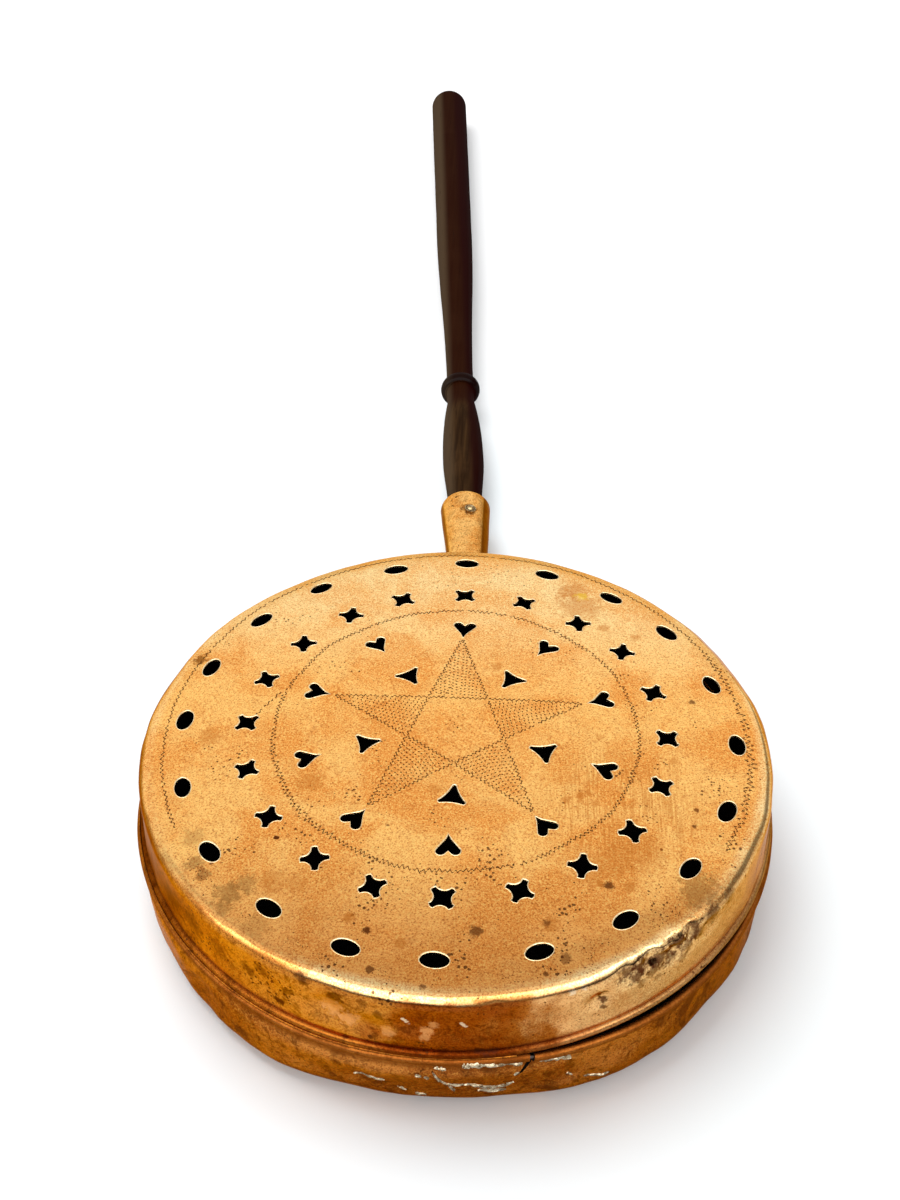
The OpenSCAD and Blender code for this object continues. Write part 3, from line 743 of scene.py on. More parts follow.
# The lid's rolled edge is painted darker, as painted shade that dims its reflection of the bright ceiling.
bead_shade = blended(at_bead, (1, 1, 1, 1), (0.5, 0.42, 0.36, 1))
for label, shade in darker.items():
    middle_tone, front_reflection_tone, back_reflection_tone = top_and_reflection_tones[label]
    top_tone = blended(painted_front_reflection, middle_tone, front_reflection_tone)
    top_tone = blended(painted_back_reflection, top_tone, back_reflection_tone)
    top_tone = blended(painted_edge_highlight, top_tone, edge_highlight_tones[label])
    top_tone = blended(painted_edge_shade, top_tone, edge_shade_tones[label])
    skirt_tone = tinted(tinted(skirt_polish_and_reflection, shade), bead_shade)
    feed(surface, label, blended(on_skirt, top_tone, skirt_tone))

# Stains and patches of painted light and shade are spots with a ragged edge.
ragged_spot, given, result = group(
    "ragged_spot",
    [
        ("Vector", "NodeSocketVector", None),
        ("Place", "NodeSocketVector", None),
        ("Reach", "NodeSocketFloat", 3 * mm),
        ("Strength", "NodeSocketFloat", 0.5),
    ],
    [("Amount", "NodeSocketFloat")],
)
ragged = minus(clouds(given["Vector"], 330.0, 5.0, 0.7), 0.5)
ragged = times(ragged, times(given["Reach"], 2.6))
apart = plus(distance(given["Vector"], given["Place"]), ragged)
apart = math_node("DIVIDE", apart, given["Reach"])
feed(result, "Amount", times(spread(apart, 1.0, 0.45), given["Strength"]))

# The top's stains, by kind: place from the axis, reach in millimetres and strength.
top_stains = [
    ("olive", [(-92, -100, 8, 0.6), (-94, -106, 6, 0.5), (-86, -95, 7, 0.5)]),
    ("brown", [(-74, -93, 7, 0.45), (-64, -95, 6, 0.4)]),
    ("olive", [(-78, -116, 9, 0.3), (-113, -70, 6, 0.35)]),
    ("dark", [(-110, -84, 5, 0.45), (-105, -90, 4, 0.5)]),
    ("brown", [(-39.9, -110.7, 3.2, 0.75)]),
    ("dark", [(-31.4, -117.4, 2.2, 0.95)]),
    ("brown", [(-16.9, -122.8, 3.4, 0.6)]),
    ("dark", [
        (13.8, -115.4, 3.4, 0.8), (-75.6, -70.1, 1.3, 1.0), (-28.4, -135.4, 2.2, 0.8),
        (-6.7, -141.9, 1.8, 0.8),
    ]),
    ("brown", [(45.1, -110.2, 4.4, 0.6)]),
    ("dark", [(43.5, -109.6, 2.2, 0.7), (69.5, -88.5, 2.8, 0.9)]),
    ("brown", [(66.0, -87.5, 2.0, 0.7), (78.8, -88.7, 3.8, 0.6)]),
    ("dark", [
        (51.4, -125.8, 2.8, 0.6), (43.5, -133.7, 1.6, 0.8), (93.4, -67.6, 0.9, 1.0),
        (110.3, -43.2, 1.4, 0.9), (108.6, -53.0, 1.6, 0.9),
    ]),
    ("brown", [(72, -76, 12, 0.35), (86, -70, 12, 0.35), (62, -84, 9, 0.3)]),
    ("olive", [(109, -87, 12, 0.55)]),
    ("brown", [
        (71.4, 77.4, 4.0, 0.5), (87.6, 71.8, 3.4, 0.5), (18.0, 43.6, 4.0, 0.5), (67.7, -3.0, 3.0, 0.4),
        (101.8, -14.5, 3.0, 0.5), (52, -43, 3.0, 0.55), (58, -40, 2.6, 0.6), (62, -38, 2.4, 0.6),
        (65, -44, 2.2, 0.5), (-7.6, -40.1, 3.4, 0.5),
    ]),
    ("dark", [(112.9, 26.5, 2.0, 0.8), (-27.0, -62.0, 1.3, 0.8)]),
    ("brown", [(-64.8, -37.1, 8.0, 0.45), (-116.1, -7.8, 7.0, 0.45)]),
    ("dark", [(-131.1, 48.3, 5.0, 0.7)]),
    ("brown", [(59.6, 95.0, 14, 0.45), (56, 108, 10, 0.5)]),
    ("yellow", [(60.5, 103.5, 4.2, 0.35)]),
]
# The skirt's marks: bearing, height and reach in millimetres, and strength. Most are stains, but the
# dark patches from bearing 31 to 55 at 64 to 73 mm high are painted reflection in the crumpled edge,
# the dark ones at bearing 26 to 27 are painted shade in a dent, and the peach spots are painted
# highlight on dents.
skirt_stains_and_painted_light = [
    ("purple", [
        (8.4, 42.6, 4.6, 0.9), (6.2, 45.0, 2.6, 0.9), (-26.9, 50.6, 3.6, 0.9), (-22.1, 72.9, 4.2, 0.7),
        (-16.6, 68.1, 5.2, 0.7),
    ]),
    ("dark", [(-18.6, 73.4, 1.4, 1.0), (-22.6, 42.8, 1.8, 0.8), (-10.9, 47.9, 1.6, 1.0)]),
    ("purple", [
        (-14.9, 44.3, 2.4, 0.6), (26.4, 64.5, 3.0, 0.9), (26.8, 60.0, 2.8, 0.9), (27.0, 56.0, 2.4, 0.8),
        (31, 70.5, 6.0, 0.8), (34.5, 71.0, 7.0, 0.9), (38.0, 68.5, 7.0, 0.8), (41.5, 71.5, 7.0, 0.9),
        (45.5, 72.0, 7.0, 0.8), (50.0, 72.0, 6.5, 0.7), (55.0, 72.5, 5.5, 0.5), (-55, 57, 9, 0.5),
        (-47, 59, 9, 0.5), (-40, 60, 7, 0.4), (33, 66, 5.0, 0.8), (36.5, 64.5, 5.0, 0.7),
        (40, 66, 5.0, 0.7), (43.5, 67, 5.0, 0.6), (47, 68, 5.0, 0.6),
    ]),
    ("peach", [
        (-14.3, 57.4, 5.5, 0.6), (-17, 61, 6.0, 0.5), (-8, 54, 4.0, 0.5), (-1.6, 57.5, 3.3, 0.6),
        (-1.9, 53.5, 3.0, 0.5), (-0.6, 61, 2.8, 0.5),
    ]),
    ("pale", [
        (-5.5, 63.8, 1.0, 0.8), (-5.1, 62.7, 1.2, 0.8), (-4.8, 61.6, 1.2, 0.7), (-4.4, 60.4, 1.0, 0.7),
        (3.7, 63.6, 0.9, 0.6), (4.1, 62.5, 1.1, 0.7), (4.4, 61.2, 1.0, 0.6), (21.5, 73.5, 2.6, 0.7),
        (23.5, 73.0, 2.2, 0.6),
    ]),
    ("purple", [
        (34, 60, 3.4, 0.5), (37.5, 58.5, 3.0, 0.5), (42.5, 61, 3.4, 0.5), (-33, 60, 5.0, 0.6),
        (-30, 66, 4.4, 0.6), (-25, 60, 3.6, 0.6), (-9.5, 64, 3.6, 0.6), (-12, 70, 3.0, 0.5),
    ]),
]
stain_and_painted_light_tones = {
    "olive": (0.30, 0.13, 0.030, 1),
    "brown": (0.55, 0.17, 0.022, 1),
    "dark": (0.12, 0.030, 0.006, 1),
    "purple": (0.075, 0.016, 0.006, 1),
    "yellow": (1.0, 0.78, 0.05, 1),
    "peach": (0.90, 0.40, 0.13, 1),
    "pale": (0.95, 0.75, 0.50, 1),
}


def with_stains_and_painted_light(tone, place, spots):
    """A colour with stains and spots of painted light and shade laid over it."""
    for where, reach, strength, kind in spots:
        inputs = {"Vector": place, "Place": where, "Reach": reach * mm, "Strength": strength}
        mark = node(place.id_data, "ShaderNodeGroup", inputs, node_tree=ragged_spot)
        tone = blended(mark.outputs["Amount"], tone, stain_and_painted_light_tones[kind])
    return tone


def lid_height(reach):
    """Height of the new lid's outside at a distance from the axis."""
    if reach < top_flat_r + lid_edge_r * math.cos(math.radians(crown_angle)):
        return crown_z + math.sqrt(crown_r**2 - reach**2)
    return lid_edge_z + math.sqrt(lid_edge_r**2 - (reach - top_flat_r) ** 2)


spots = []
for kind, marks in top_stains:
    for x, y, reach, strength in marks:
        height = lid_height(math.hypot(x, y) * mm)
        spots.append((Vector((x * mm, y * mm, height)), reach, strength, kind))
for kind, marks in skirt_stains_and_painted_light:
    for where, z, reach, strength in marks:
        spots.append((at_bearing(where, lid_top_r, z * mm), reach, strength, kind))
tone = with_stains_and_painted_light(surface.outputs["Color"], place, spots)

# On the right of the top the polish has worn in upright streaks.
streaks = clouds(mapped(place, Scale=(1100, 60, 60)), 1.0, 3.0, 0.6)
rubbed = spread(distance(place, (76 * mm, -44 * mm, 82 * mm)), 46 * mm, 22 * mm, 0.0, 0.5)
tone = blended(times(spread(streaks, 0.44, 0.62), rubbed), tone, stain_and_painted_light_tones["brown"])
feed(shader, "Base Color", tone)

lid_shell = finished(bm, "lid_shell", [lid_copper, ember_black])
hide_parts("lid")
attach(lid_shell, "lid_body")

rim_wire("lid_wire", "lid_rim_wire", lid_low_r, lid_rim_z, worn_lid, "lid_body")


# ---- the piercings ----
# Four rings of holes let out the heat: ovals, four-pointed stars, hearts and hollow triangles.
# Each was struck through from above with a punch, by hand, and its edge has worn round. The edge's
# pale cream is partly rubbed copper and partly painted highlight.

oval_ring_r = 130 * mm
star_ring_r = 99.5 * mm
heart_ring_r = 71.2 * mm
triangle_ring_r = 43.3 * mm


def oval_outline(width, height):
    """An oval in 36 corners."""
    return [(x * width / 2, y * height / 2) for x, y in arc((0, 0), 1, 0, 350, 35)]


def star_outline(tips, tip_r, waist_r, hollow_r, steps=8):
    """A star left between hollows that are cut into a circle, its tips a little worn."""
    half = 180 / tips
    away = waist_r + hollow_r
    opening = math.degrees(math.acos((away**2 + hollow_r**2 - tip_r**2) / (2 * away * hollow_r))) * 0.92
    points = []
    for i in range(tips):
        toward = half + 2 * half * i
        angle, next_tip = math.radians(toward), math.radians(toward + half)
        middle = (away * math.cos(angle), away * math.sin(angle))
        points += arc(middle, hollow_r, toward + 180 + opening, toward + 180 - opening, steps)
        points.append((tip_r * 0.98 * math.cos(next_tip), tip_r * 0.98 * math.sin(next_tip)))
    return [(-y, x) for x, y in points]


def touching(start, centre, radius, turn):
    """Where a line from a point touches a circle, on the side that turn gives."""
    away = Vector(start) - Vector(centre)
    angle = math.atan2(away.y, away.x) + turn * math.acos(radius / away.length)
    return math.degrees(angle)


def heart_outline(width, height):
    """A heart with its point down, small lobes, a deep notch and hollow flanks."""
    lobe_r = width * 0.21
    lobe = (width / 2 - lobe_r, height / 2 - lobe_r)
    flank = (width * 0.12, -height * 0.23)
    notch = (0, height * 0.30)
    begins = touching(flank, lobe, lobe_r, 1)
    ends = touching(notch, lobe, lobe_r, -1)
    over = arc(lobe, lobe_r, begins, ends + 360 * (ends < begins), 12)
    right = [flank] + over
    left = [(-x, y) for x, y in reversed(right)]
    return [(0, -height / 2)] + right + [notch] + left


def ring_places(count, ring_r, slips, first=0.0):
    """Matrices of the places round a ring, clockwise from the one on the handle's side."""
    for i in range(count):
        along, out = slips.get(i, (hand.uniform(-0.5, 0.5), hand.uniform(-0.4, 0.4)))
        slip = Matrix.Translation((along * mm, ring_r + out * mm, 0))
        yield turned(first - 360 * i / count) @ slip


hand = random.Random(18)

# The holes that were struck most out of step, by number: how far along the ring and outward.
oval_slips = {
    0: (-0.6, -1.0), 1: (2.8, -1.5), 2: (0.2, -1.1), 3: (-2.5, -0.4), 5: (0, 2.3), 6: (1.8, 1.1),
    10: (2.4, 0), 11: (-1.2, 1.4), 12: (-2.9, 0), 13: (-1.5, 0), 15: (3.0, 0.2), 17: (1.3, -0.2),
    18: (-0.7, -0.9), 19: (1.2, -2.2),
}
star_slips = {
    3: (-1.3, 0.5), 8: (-0.8, -1.0), 9: (-1.2, 0), 10: (0.9, 0.2), 12: (-1.1, -0.2), 14: (1.1, 0.2),
    17: (-0.3, -1.2), 19: (-1.6, 0.4),
}
heart_slips = {0: (0.6, -0.9), 3: (0, 1.0), 9: (-0.7, -1.4)}
triangle_slips = {0: (0.6, -0.9), 1: (0.5, 0.6), 2: (-0.6, 0.9), 3: (0.9, 0), 4: (0.2, -1.1)}


def struck(outline, places, turn=0.0):
    """A punch's outline at each place, set down with a hand's small errors."""
    for matrix in places:
        lean = turned(turn + hand.uniform(-5, 5))
        size = hand.uniform(0.96, 1.03)
        yield [matrix @ lean @ Vector((x * size, y * size, 0)) for x, y in outline]


holes = list(struck(oval_outline(13.0 * mm, 7.9 * mm), ring_places(20, oval_ring_r, oval_slips)))
stars = star_outline(4, 6.7 * mm, 3.75 * mm, 4.2 * mm)
holes += struck(stars, ring_places(20, star_ring_r, star_slips), 45)
holes += struck(heart_outline(11.2 * mm, 12 * mm), ring_places(10, heart_ring_r, heart_slips))
triangles = star_outline(3, 7.3 * mm, 3.4 * mm, 20 * mm)
holes += struck(triangles, ring_places(5, triangle_ring_r, triangle_slips, -36), 180)

# The burr's pale cream is partly rubbed copper and partly painted highlight.
worn_and_highlit_edge = copper(
    "worn and highlit edge", (0.98, 0.78, 0.48, 1), (0.95, 0.66, 0.34, 1), (0.60, 0.30, 0.10, 1),
    90.0, 0.1, 0.1, 0.16, 0.02 * mm,
)
# The sheet's cut edge is painted pale cream, as a painted highlight, and shows as a pale crescent on
# the far side of each hole.
highlit_cut_edge = copper(
    "cut edge", (1.0, 0.80, 0.50, 1), (0.95, 0.66, 0.34, 1), (0.60, 0.30, 0.10, 1),
    90.0, 0.1, 0.1, 0.42, 0.02 * mm,
)

bm = bmesh.new()
for outline in holes:
    face = bm.faces.new([bm.verts.new(point + Vector((0, 0, lid_edge_z))) for point in outline])
    extruded(bm, [face], (0, 0, 2 * (lid_top_z - lid_edge_z)))
bmesh.ops.recalc_face_normals(bm, faces=bm.faces)
cut_out(lid_shell, finished(bm, "punches", [highlit_cut_edge]))


def on_lid(x, y, above):
    """The place on the worn lid over a point of the plan."""
    return worn_lid(Vector((x, y, lid_height(math.hypot(x, y))))) + Vector((0, 0, above))


def drawn(name, runs, thickness, material, closed, swells=None):
    """Thin round strokes along runs of points, as one mesh. Swells say how thick each point is."""
    curve = bpy.data.curves.new(name, "CURVE")
    curve.dimensions = "3D"
    curve.bevel_depth = thickness
    curve.bevel_resolution = 1
    curve.use_fill_caps = True
    for number, run in enumerate(runs):
        spline = curve.splines.new("POLY")
        spline.points.add(len(run) - 1)
        for point, where in zip(spline.points, run):
            point.co = (*where, 1)
        for point, swell in zip(spline.points, swells[number] if swells else []):
            point.radius = swell
        spline.use_cyclic_u = closed
    stroke = placed(name, curve)
    scene_now = bpy.context.evaluated_depsgraph_get()
    bm = bmesh.new()
    bm.from_mesh(stroke.evaluated_get(scene_now).to_mesh())
    bpy.data.objects.remove(stroke)
    bmesh.ops.remove_doubles(bm, verts=bm.verts, dist=1e-6)
    bmesh.ops.recalc_face_normals(bm, faces=bm.faces)
    piece = finished(bm, name, [material], 80)
    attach(piece, "lid_body")


def burred(outline):
    """A hole's outline where its burr lies, and its swells: thick and turned in on the far side."""
    moved, swells = [], []
    for i, point in enumerate(outline):
        along = (outline[(i + 1) % len(outline)] - outline[i - 1]).normalized()
        outward = Vector((along.y, -along.x, 0))
        far = rise(outward.dot(Vector((-0.35, 0.94, 0))), -0.1, 0.8)
        moved.append(point + outward * (0.2 - 0.3 * far) * mm)
        swells.append(1 + 0.9 * far)
    return moved, swells


burrs = [burred(outline) for outline in holes]
edges = [[on_lid(p.x, p.y, -0.08 * mm) for p in moved] for moved, swells in burrs]
drawn("pierced_edges", edges, 0.26 * mm, worn_and_highlit_edge, True, [swells for moved, swells in burrs])


# ---- the engraving ----
# A five-pointed star and two rings are cut in wriggle work: a flat graver is rocked from corner
# to corner as it is pushed, and leaves a zigzag. Old polish has set dark in the cuts.

star_r = 63 * mm
inner_ring_r = 86 * mm
outer_ring_r = 139 * mm
stroke_r = 0.36 * mm
cut_above = -0.2 * mm
star_pitch, star_swing = 2.3 * mm, 1.3 * mm

cut_dark = speckled(
    "dark cuts", 0.0, (500.0, 3.0, 0.55), (0.4, 0.65),
    [(0.035, 0.012, 0.003, 1), (0.14, 0.045, 0.010, 1)], (0.45, 0.7), 0.05 * mm, 0.0,
)


def shaken(across, up):
    """A small random step on the plan."""
    return Vector((hand.uniform(-across, across), hand.uniform(-up, up)))


def ticks(corners):
    """The marks that a rocked graver leaves: deep at each corner of the zigzag, and faint between."""
    marks = []
    for before, corner, after in zip(corners, corners[1:], corners[2:]):
        if hand.random() > 0.06:
            back = corner.lerp(before, hand.uniform(0.32, 0.5))
            marks.append([back, corner, corner.lerp(after, hand.uniform(0.32, 0.5))])
    return marks


def wriggle(start, stop, pitch, width):
    """A zigzag between two points of the plan."""
    along = stop - start
    side = Vector((-along.y, along.x)).normalized() * width / 2
    count = max(int(along.length / pitch * 2), 1)
    points = []
    for i in range(count + 1):
        jitter = shaken(1, 1) * width * 0.16
        points.append(start + along * i / count + side * (1 if i % 2 else -1) + jitter)
    return ticks(points)


def ring_wriggle(ring_r, pitch, width, uneven, low=-180, high=180):
    """A zigzag round the axis between two bearings."""
    count = max(int(math.radians(high - low) * ring_r / pitch * 2), 1)
    points = []
    for i in range(count + 1):
        around = low + (high - low) * (i + hand.uniform(-0.3, 0.3)) / count
        wave = noise.noise(at_bearing(around + 90, 3)) * uneven
        reach = ring_r + wave + width(around) / 2 * (1 if i % 2 else -1) * hand.uniform(0.4, 1.4)
        points.append(at_bearing(around, reach).xy)
    return ticks(points)


def star_point(radius, degrees):
    """A place on the plan, by an angle clockwise from the handle."""
    return at_bearing(180 - degrees, radius).xy


waist_r = star_r * math.cos(math.radians(72)) / math.cos(math.radians(36))
tips = [star_point(star_r, 72 * i) for i in range(5)]
waists = [star_point(waist_r, 36 + 72 * i) for i in range(5)]


def inner_swing(around):
    """The inner ring is a little wider on the left."""
    return (1.8 + 0.9 * hump(around, -50, 60)) * mm


def outer_swing(around):
    """The outer ring is widest on the right, and thin behind."""
    return (1.4 + 2.4 * hump(around, 88, 60) + 1.4 * hump(around, -95, 60)) * mm


# The outer ring is rubbed out at the front, where only the ends of its strokes are left as dots.
cuts = ring_wriggle(inner_ring_r, 2.3 * mm, inner_swing, 1.6 * mm)
cuts += ring_wriggle(outer_ring_r - 1 * mm, 2.9 * mm, outer_swing, 1.2 * mm, 62, 298)
for i in range(330):
    around = hand.uniform(-58, 58)
    if noise.noise(Vector((around / 9, 0, 4))) > -0.05:
        start = at_bearing(around, outer_ring_r + hand.gauss(0, 1.7) * mm).xy
        cuts.append([start, start + shaken(0.3, 0.3) * mm])
arms = [(tips[i], waists[i - 1], waists[i]) for i in range(5)]
for tip, left, right in arms:
    for start, stop in [(tip, right), (tip, left), (right, left)]:
        cuts += wriggle(start, stop, star_pitch, star_swing)

# Each arm is filled with rows of short cuts that meet on its middle line.
row_step = 2.1 * mm
dot_step = 1.9 * mm
dot_length = 0.8 * mm
for tip, left, right in arms:
    foot = (left + right) / 2
    down = (foot - tip).normalized()
    side = Vector((down.y, -down.x))
    arm_length = (foot - tip).length
    half_width = (right - left).length / 2
    slopes = {1: math.tan(math.radians(24)), -1: math.tan(math.radians(-6))}
    for hand_side, slope in slopes.items():
        row = 3 * mm
        while row < arm_length + half_width:
            step = 0.6 * dot_step
            while True:
                depth = row - slope * step
                if step > half_width * depth / arm_length - 1.2 * mm or step > half_width:
                    break
                if depth < arm_length - 1.5 * mm:
                    middle = tip + down * depth + side * hand_side * step + shaken(0.25, 0.2) * mm
                    heading = (side * hand_side * 0.9 + down * hand.uniform(-0.5, 0.1)).normalized()
                    cuts.append([middle - heading * dot_length / 2, middle + heading * dot_length / 2])
                step += dot_step
            row += row_step

# The punch mark that the rings were struck from, and a slip of the graver beside the ring.
cuts.append([Vector(place) * mm for place in [(0.4, -1.5), (1.0, -1.1), (0.5, -0.7)]])
cuts += wriggle(Vector((-98 * mm, 2 * mm)), Vector((-86 * mm, 22 * mm)), 3 * mm, 1.2 * mm)

cuts = [[on_lid(p.x, p.y, cut_above) for p in run] for run in cuts]
drawn("wriggle_work", cuts, stroke_r, cut_dark, False)


# ---- the hinge ----
# A copper leaf is riveted to the lid and another to the pan, under the socket's upper rivets.
# Their five knuckles turn on an iron pin, peened at both ends.

leaf_copper = copper(
    "leaf copper", (0.66, 0.24, 0.045, 1), (0.45, 0.13, 0.02, 1), (0.16, 0.05, 0.012, 1),
    70.0, 0.6, 0.7, 0.32, 0.12 * mm,
)
rivet_copper = copper(
    "rivet copper", (0.70, 0.28, 0.06, 1), (0.42, 0.13, 0.02, 1), (0.13, 0.04, 0.01, 1),
    160.0, 0.6, 0.5, 0.28, 0.08 * mm,
)


def dress(names, material):
    """Gives carried-over pieces a finish."""
    for name in names:
        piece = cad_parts[name]
        piece.data.materials.clear()
        piece.data.materials.append(material)


dress(["lid_hinge_leaf", "pan_hinge_leaf"], leaf_copper)
dress([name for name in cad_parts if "rivet" in name], rivet_copper)
dress(["hinge_pin"], iron)


# ---- the handle's socket ----
# The socket is sheet copper rolled to a cone, flared at its root and brazed to a flange.
# Four rivets hold the flange to the pan's wall, under the hinge.

handle_low, handle_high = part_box("handle")
handle_z = (handle_low.z + handle_high.z) / 2
handle_skew = 4
socket_len = 98 * mm
socket_root_r = 9 * mm
socket_mouth_r = 15.5 * mm
socket_sheet = 1.3 * mm
flange_t = 1.4 * mm
flange_w = 48 * mm
flange_h = 20 * mm
along_handle = Matrix.Translation((0, pan_r, handle_z)) @ turned(handle_skew) @ turned(-90, "X")


def socket_r(along):
    """The socket's outer radius at a distance from the pan."""
    return socket_root_r + (socket_mouth_r - socket_root_r) * along / socket_len


def unevened(bm, size, depth, amount=lambda z: 1):
    """Makes a rolled or turned piece a little uneven and no thicker, more or less so by height."""
    for vert in bm.verts:
        outward = Vector((vert.co.x, vert.co.y, 0)).normalized()
        vert.co += outward * (ripple(vert.co, size, depth) - 0.1 * mm) * amount(vert.co.z)


lip = 0.45 * mm
socket_section = [(socket_r(-0.6 * mm), -0.6 * mm), (socket_root_r + 2.6 * mm, flange_t - 0.4 * mm)]
socket_section += [(socket_root_r + 1.3 * mm, flange_t + 0.7 * mm), (socket_r(4 * mm) + 0.15 * mm, 4 * mm)]
socket_section += [(socket_r(s), s) for s in [(6 + 4.5 * i) * mm for i in range(20)]]
socket_section += arc((socket_mouth_r - lip, socket_len - lip), lip, 0, 90, 4)
socket_section += arc((socket_mouth_r - socket_sheet + lip, socket_len - lip), lip, 90, 180, 4)
down_bore = [socket_len - (4 + 9 * i) * mm for i in range(10)]
socket_section += [(socket_r(s) - socket_sheet, s) for s in down_bore]
socket_section.append((socket_r(-0.6 * mm) - socket_sheet, -0.6 * mm))
bm = spun(socket_section, 96, closed=True)
unevened(bm, 15 * mm, 0.22 * mm, lambda z: rise(z, 6 * mm, 20 * mm))
bmesh.ops.transform(bm, matrix=along_handle, verts=bm.verts)

flange = bmesh.new()
bmesh.ops.create_grid(flange, x_segments=1, y_segments=1, size=0.5)
bmesh.ops.scale(flange, vec=(flange_w, flange_h, 1), verts=flange.verts)
bmesh.ops.bevel(
    flange, geom=flange.verts[:], affect="VERTICES", offset=3 * mm, segments=5, profile=0.5, material=-1
)
for i in range(-11, 12):
    cut = (flange_w / 24 * i, 0, 0)
    everything = flange.verts[:] + flange.edges[:] + flange.faces[:]
    bmesh.ops.bisect_plane(flange, geom=everything, plane_co=cut, plane_no=(1, 0, 0))
extruded(flange, flange.faces[:], (0, 0, 1))
for vert in flange.verts:
    height = handle_z + vert.co.y
    reach = pan_side(height) + (flange_t if vert.co.z > 0.5 else 0)
    vert.co = Vector((vert.co.x, math.sqrt(reach**2 - vert.co.x**2), height))
bmesh.ops.recalc_face_normals(flange, faces=flange.faces)
sharp = [e for e in flange.edges if e.is_manifold and e.calc_face_angle(0) > math.radians(60)]
bmesh.ops.bevel(flange, geom=sharp, affect="EDGES", offset=0.35 * mm, segments=2, profile=0.5, material=-1)
flange_mesh = bpy.data.meshes.new("flange")
flange.to_mesh(flange_mesh)
flange.free()
bm.from_mesh(flange_mesh)

socket_copper = copper(
    "socket copper", (1.0, 0.55, 0.17, 1), (0.84, 0.34, 0.070, 1), (0.28, 0.085, 0.015, 1),
    60.0, 0.5, 1.3, 0.34, 0.25 * mm, 0.4,
)


def beside_handle(vector):
    """Coordinates across, along and above the handle's middle line, from its root on the pan."""
    lean = math.radians(-handle_skew)
    root = Matrix.Rotation(lean, 3, "Z") @ Vector((0, pan_r, 0))
    return axes(mapped(vector, Rotation=(0, 0, lean), Location=-root))


# Its top is bright, and both flanks are painted darker brown as painted shade.
shader, surface, place = parts_of(socket_copper)
beside = beside_handle(place)
sideways = math_node("ABSOLUTE", plus(beside["X"], 1.3 * mm))
sideways = minus(sideways, times(beside["Y"], 0.067))
darkened = spread(sideways, 5.4 * mm, 6.8 * mm, 0.0, 0.9)
tone = blended(darkened, surface.outputs["Color"], (0.15, 0.034, 0.003, 1))
nail_s = socket_len - 17 * mm
nail_roll = 10
nail_place = along_handle @ at_bearing(nail_roll, socket_r(nail_s), nail_s)
# A dark ring round the nail is painted shadow of the washer, partly also dirt.
feed(shader, "Base Color", with_stains_and_painted_light(tone, place, [(nail_place, 6, 0.8, "dark")]))
socket = finished(bm, "socket", [socket_copper])
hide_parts("handle_socket")
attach(socket, "pan_body")


# ---- the handle ----
# One length of close-grained hardwood, turned with a belly, a ringed collar and a swelling grip.
# It is stained almost black and polished by hands. Its left side is painted paler, as a painted sheen,
# and its right side a darker red-black, as painted shade.

entry_d, belly_d, neck_d = 21.2 * mm, 26.6 * mm, 18.4 * mm
collar_d, shaft_d = 27 * mm, 18.5 * mm
grip_d, grip_end_d = 28.4 * mm, 31.6 * mm
belly_len, belly_peak, neck_len, collar_w = 122 * mm, 55 * mm, 12 * mm, 10 * mm
shaft_len, grip_len = 232 * mm, 261 * mm
end_r, end_dome = 7 * mm, 2.5 * mm
neck_s = socket_len + belly_len
collar_s = neck_s + neck_len
shaft_s = collar_s + collar_w
grip_s = shaft_s + shaft_len
handle_s = grip_s + grip_len


def eased(start, stop, start_d, stop_d, steps):
    """A section that swells from one diameter to another, softly at both ends."""
    points = []
    for i in range(steps + 1):
        swell = (1 - math.cos(math.pi * i / steps)) / 2
        across = (start_d + (stop_d - start_d) * swell) / 2
        points.append((across, start + (stop - start) * i / steps))
    return points


handle_section = [(0, 8 * mm), (socket_r(8 * mm) - socket_sheet - 0.1 * mm, 8 * mm)]
handle_section += [(entry_d / 2 - 0.1 * mm, 52 * mm), (entry_d / 2, socket_len - 4 * mm)]
belly_s = socket_len + belly_peak
steps = 22
handle_section += eased(socket_len, belly_s, entry_d, belly_d, 16)
for i in range(1, steps + 1):
    share = i / steps
    across = (neck_d + (belly_d - neck_d) * (1 - share**2.3)) / 2
    handle_section.append((across, belly_s + (belly_len - belly_peak) * share))
for i in range(1, steps + 1):
    swing = math.radians(180 * i / steps)
    across = neck_d / 2 + (collar_d - neck_d) / 2 * math.sin(swing)
    handle_section.append((across, collar_s + collar_w / 2 * (1 - math.cos(swing))))
handle_section += eased(shaft_s + 1 * mm, grip_s, shaft_d, grip_d, 46)
handle_section += line((grip_d / 2, grip_s), (grip_end_d / 2, handle_s - end_dome - end_r), 34)
handle_section += arc((grip_end_d / 2 - end_r, handle_s - end_dome - end_r), end_r, 0, 75, 10)
handle_section += [((grip_end_d / 2 - end_r) * 0.6, handle_s - end_dome * 0.2), (0, handle_s - 0.03 * mm)]
bm = spun(handle_section, 72)
unevened(bm, 30 * mm, 0.12 * mm)
for face in bm.faces:
    along = face.calc_center_median().z
    face.material_index = int(collar_s + 0.5 * mm < along < shaft_s + 0.5 * mm)
bmesh.ops.transform(bm, matrix=along_handle, verts=bm.verts)

dark_wood, shader, spot = new_material("dark wood")
along_grain = mapped(spot, Rotation=(0, 0, math.radians(-handle_skew)), Scale=(260, 9, 260))
grain = clouds(along_grain, 1.0, 7.0, 0.62, 0.5)
pores = clouds(along_grain, 3.5, 3.0, 0.7)
bloom = clouds(spot, 22.0, 5.0, 0.6)
beside = beside_handle(spot)
tone = blended(spread(grain, 0.35, 0.7), (0.017, 0.0075, 0.003, 1), (0.044, 0.021, 0.0075, 1))
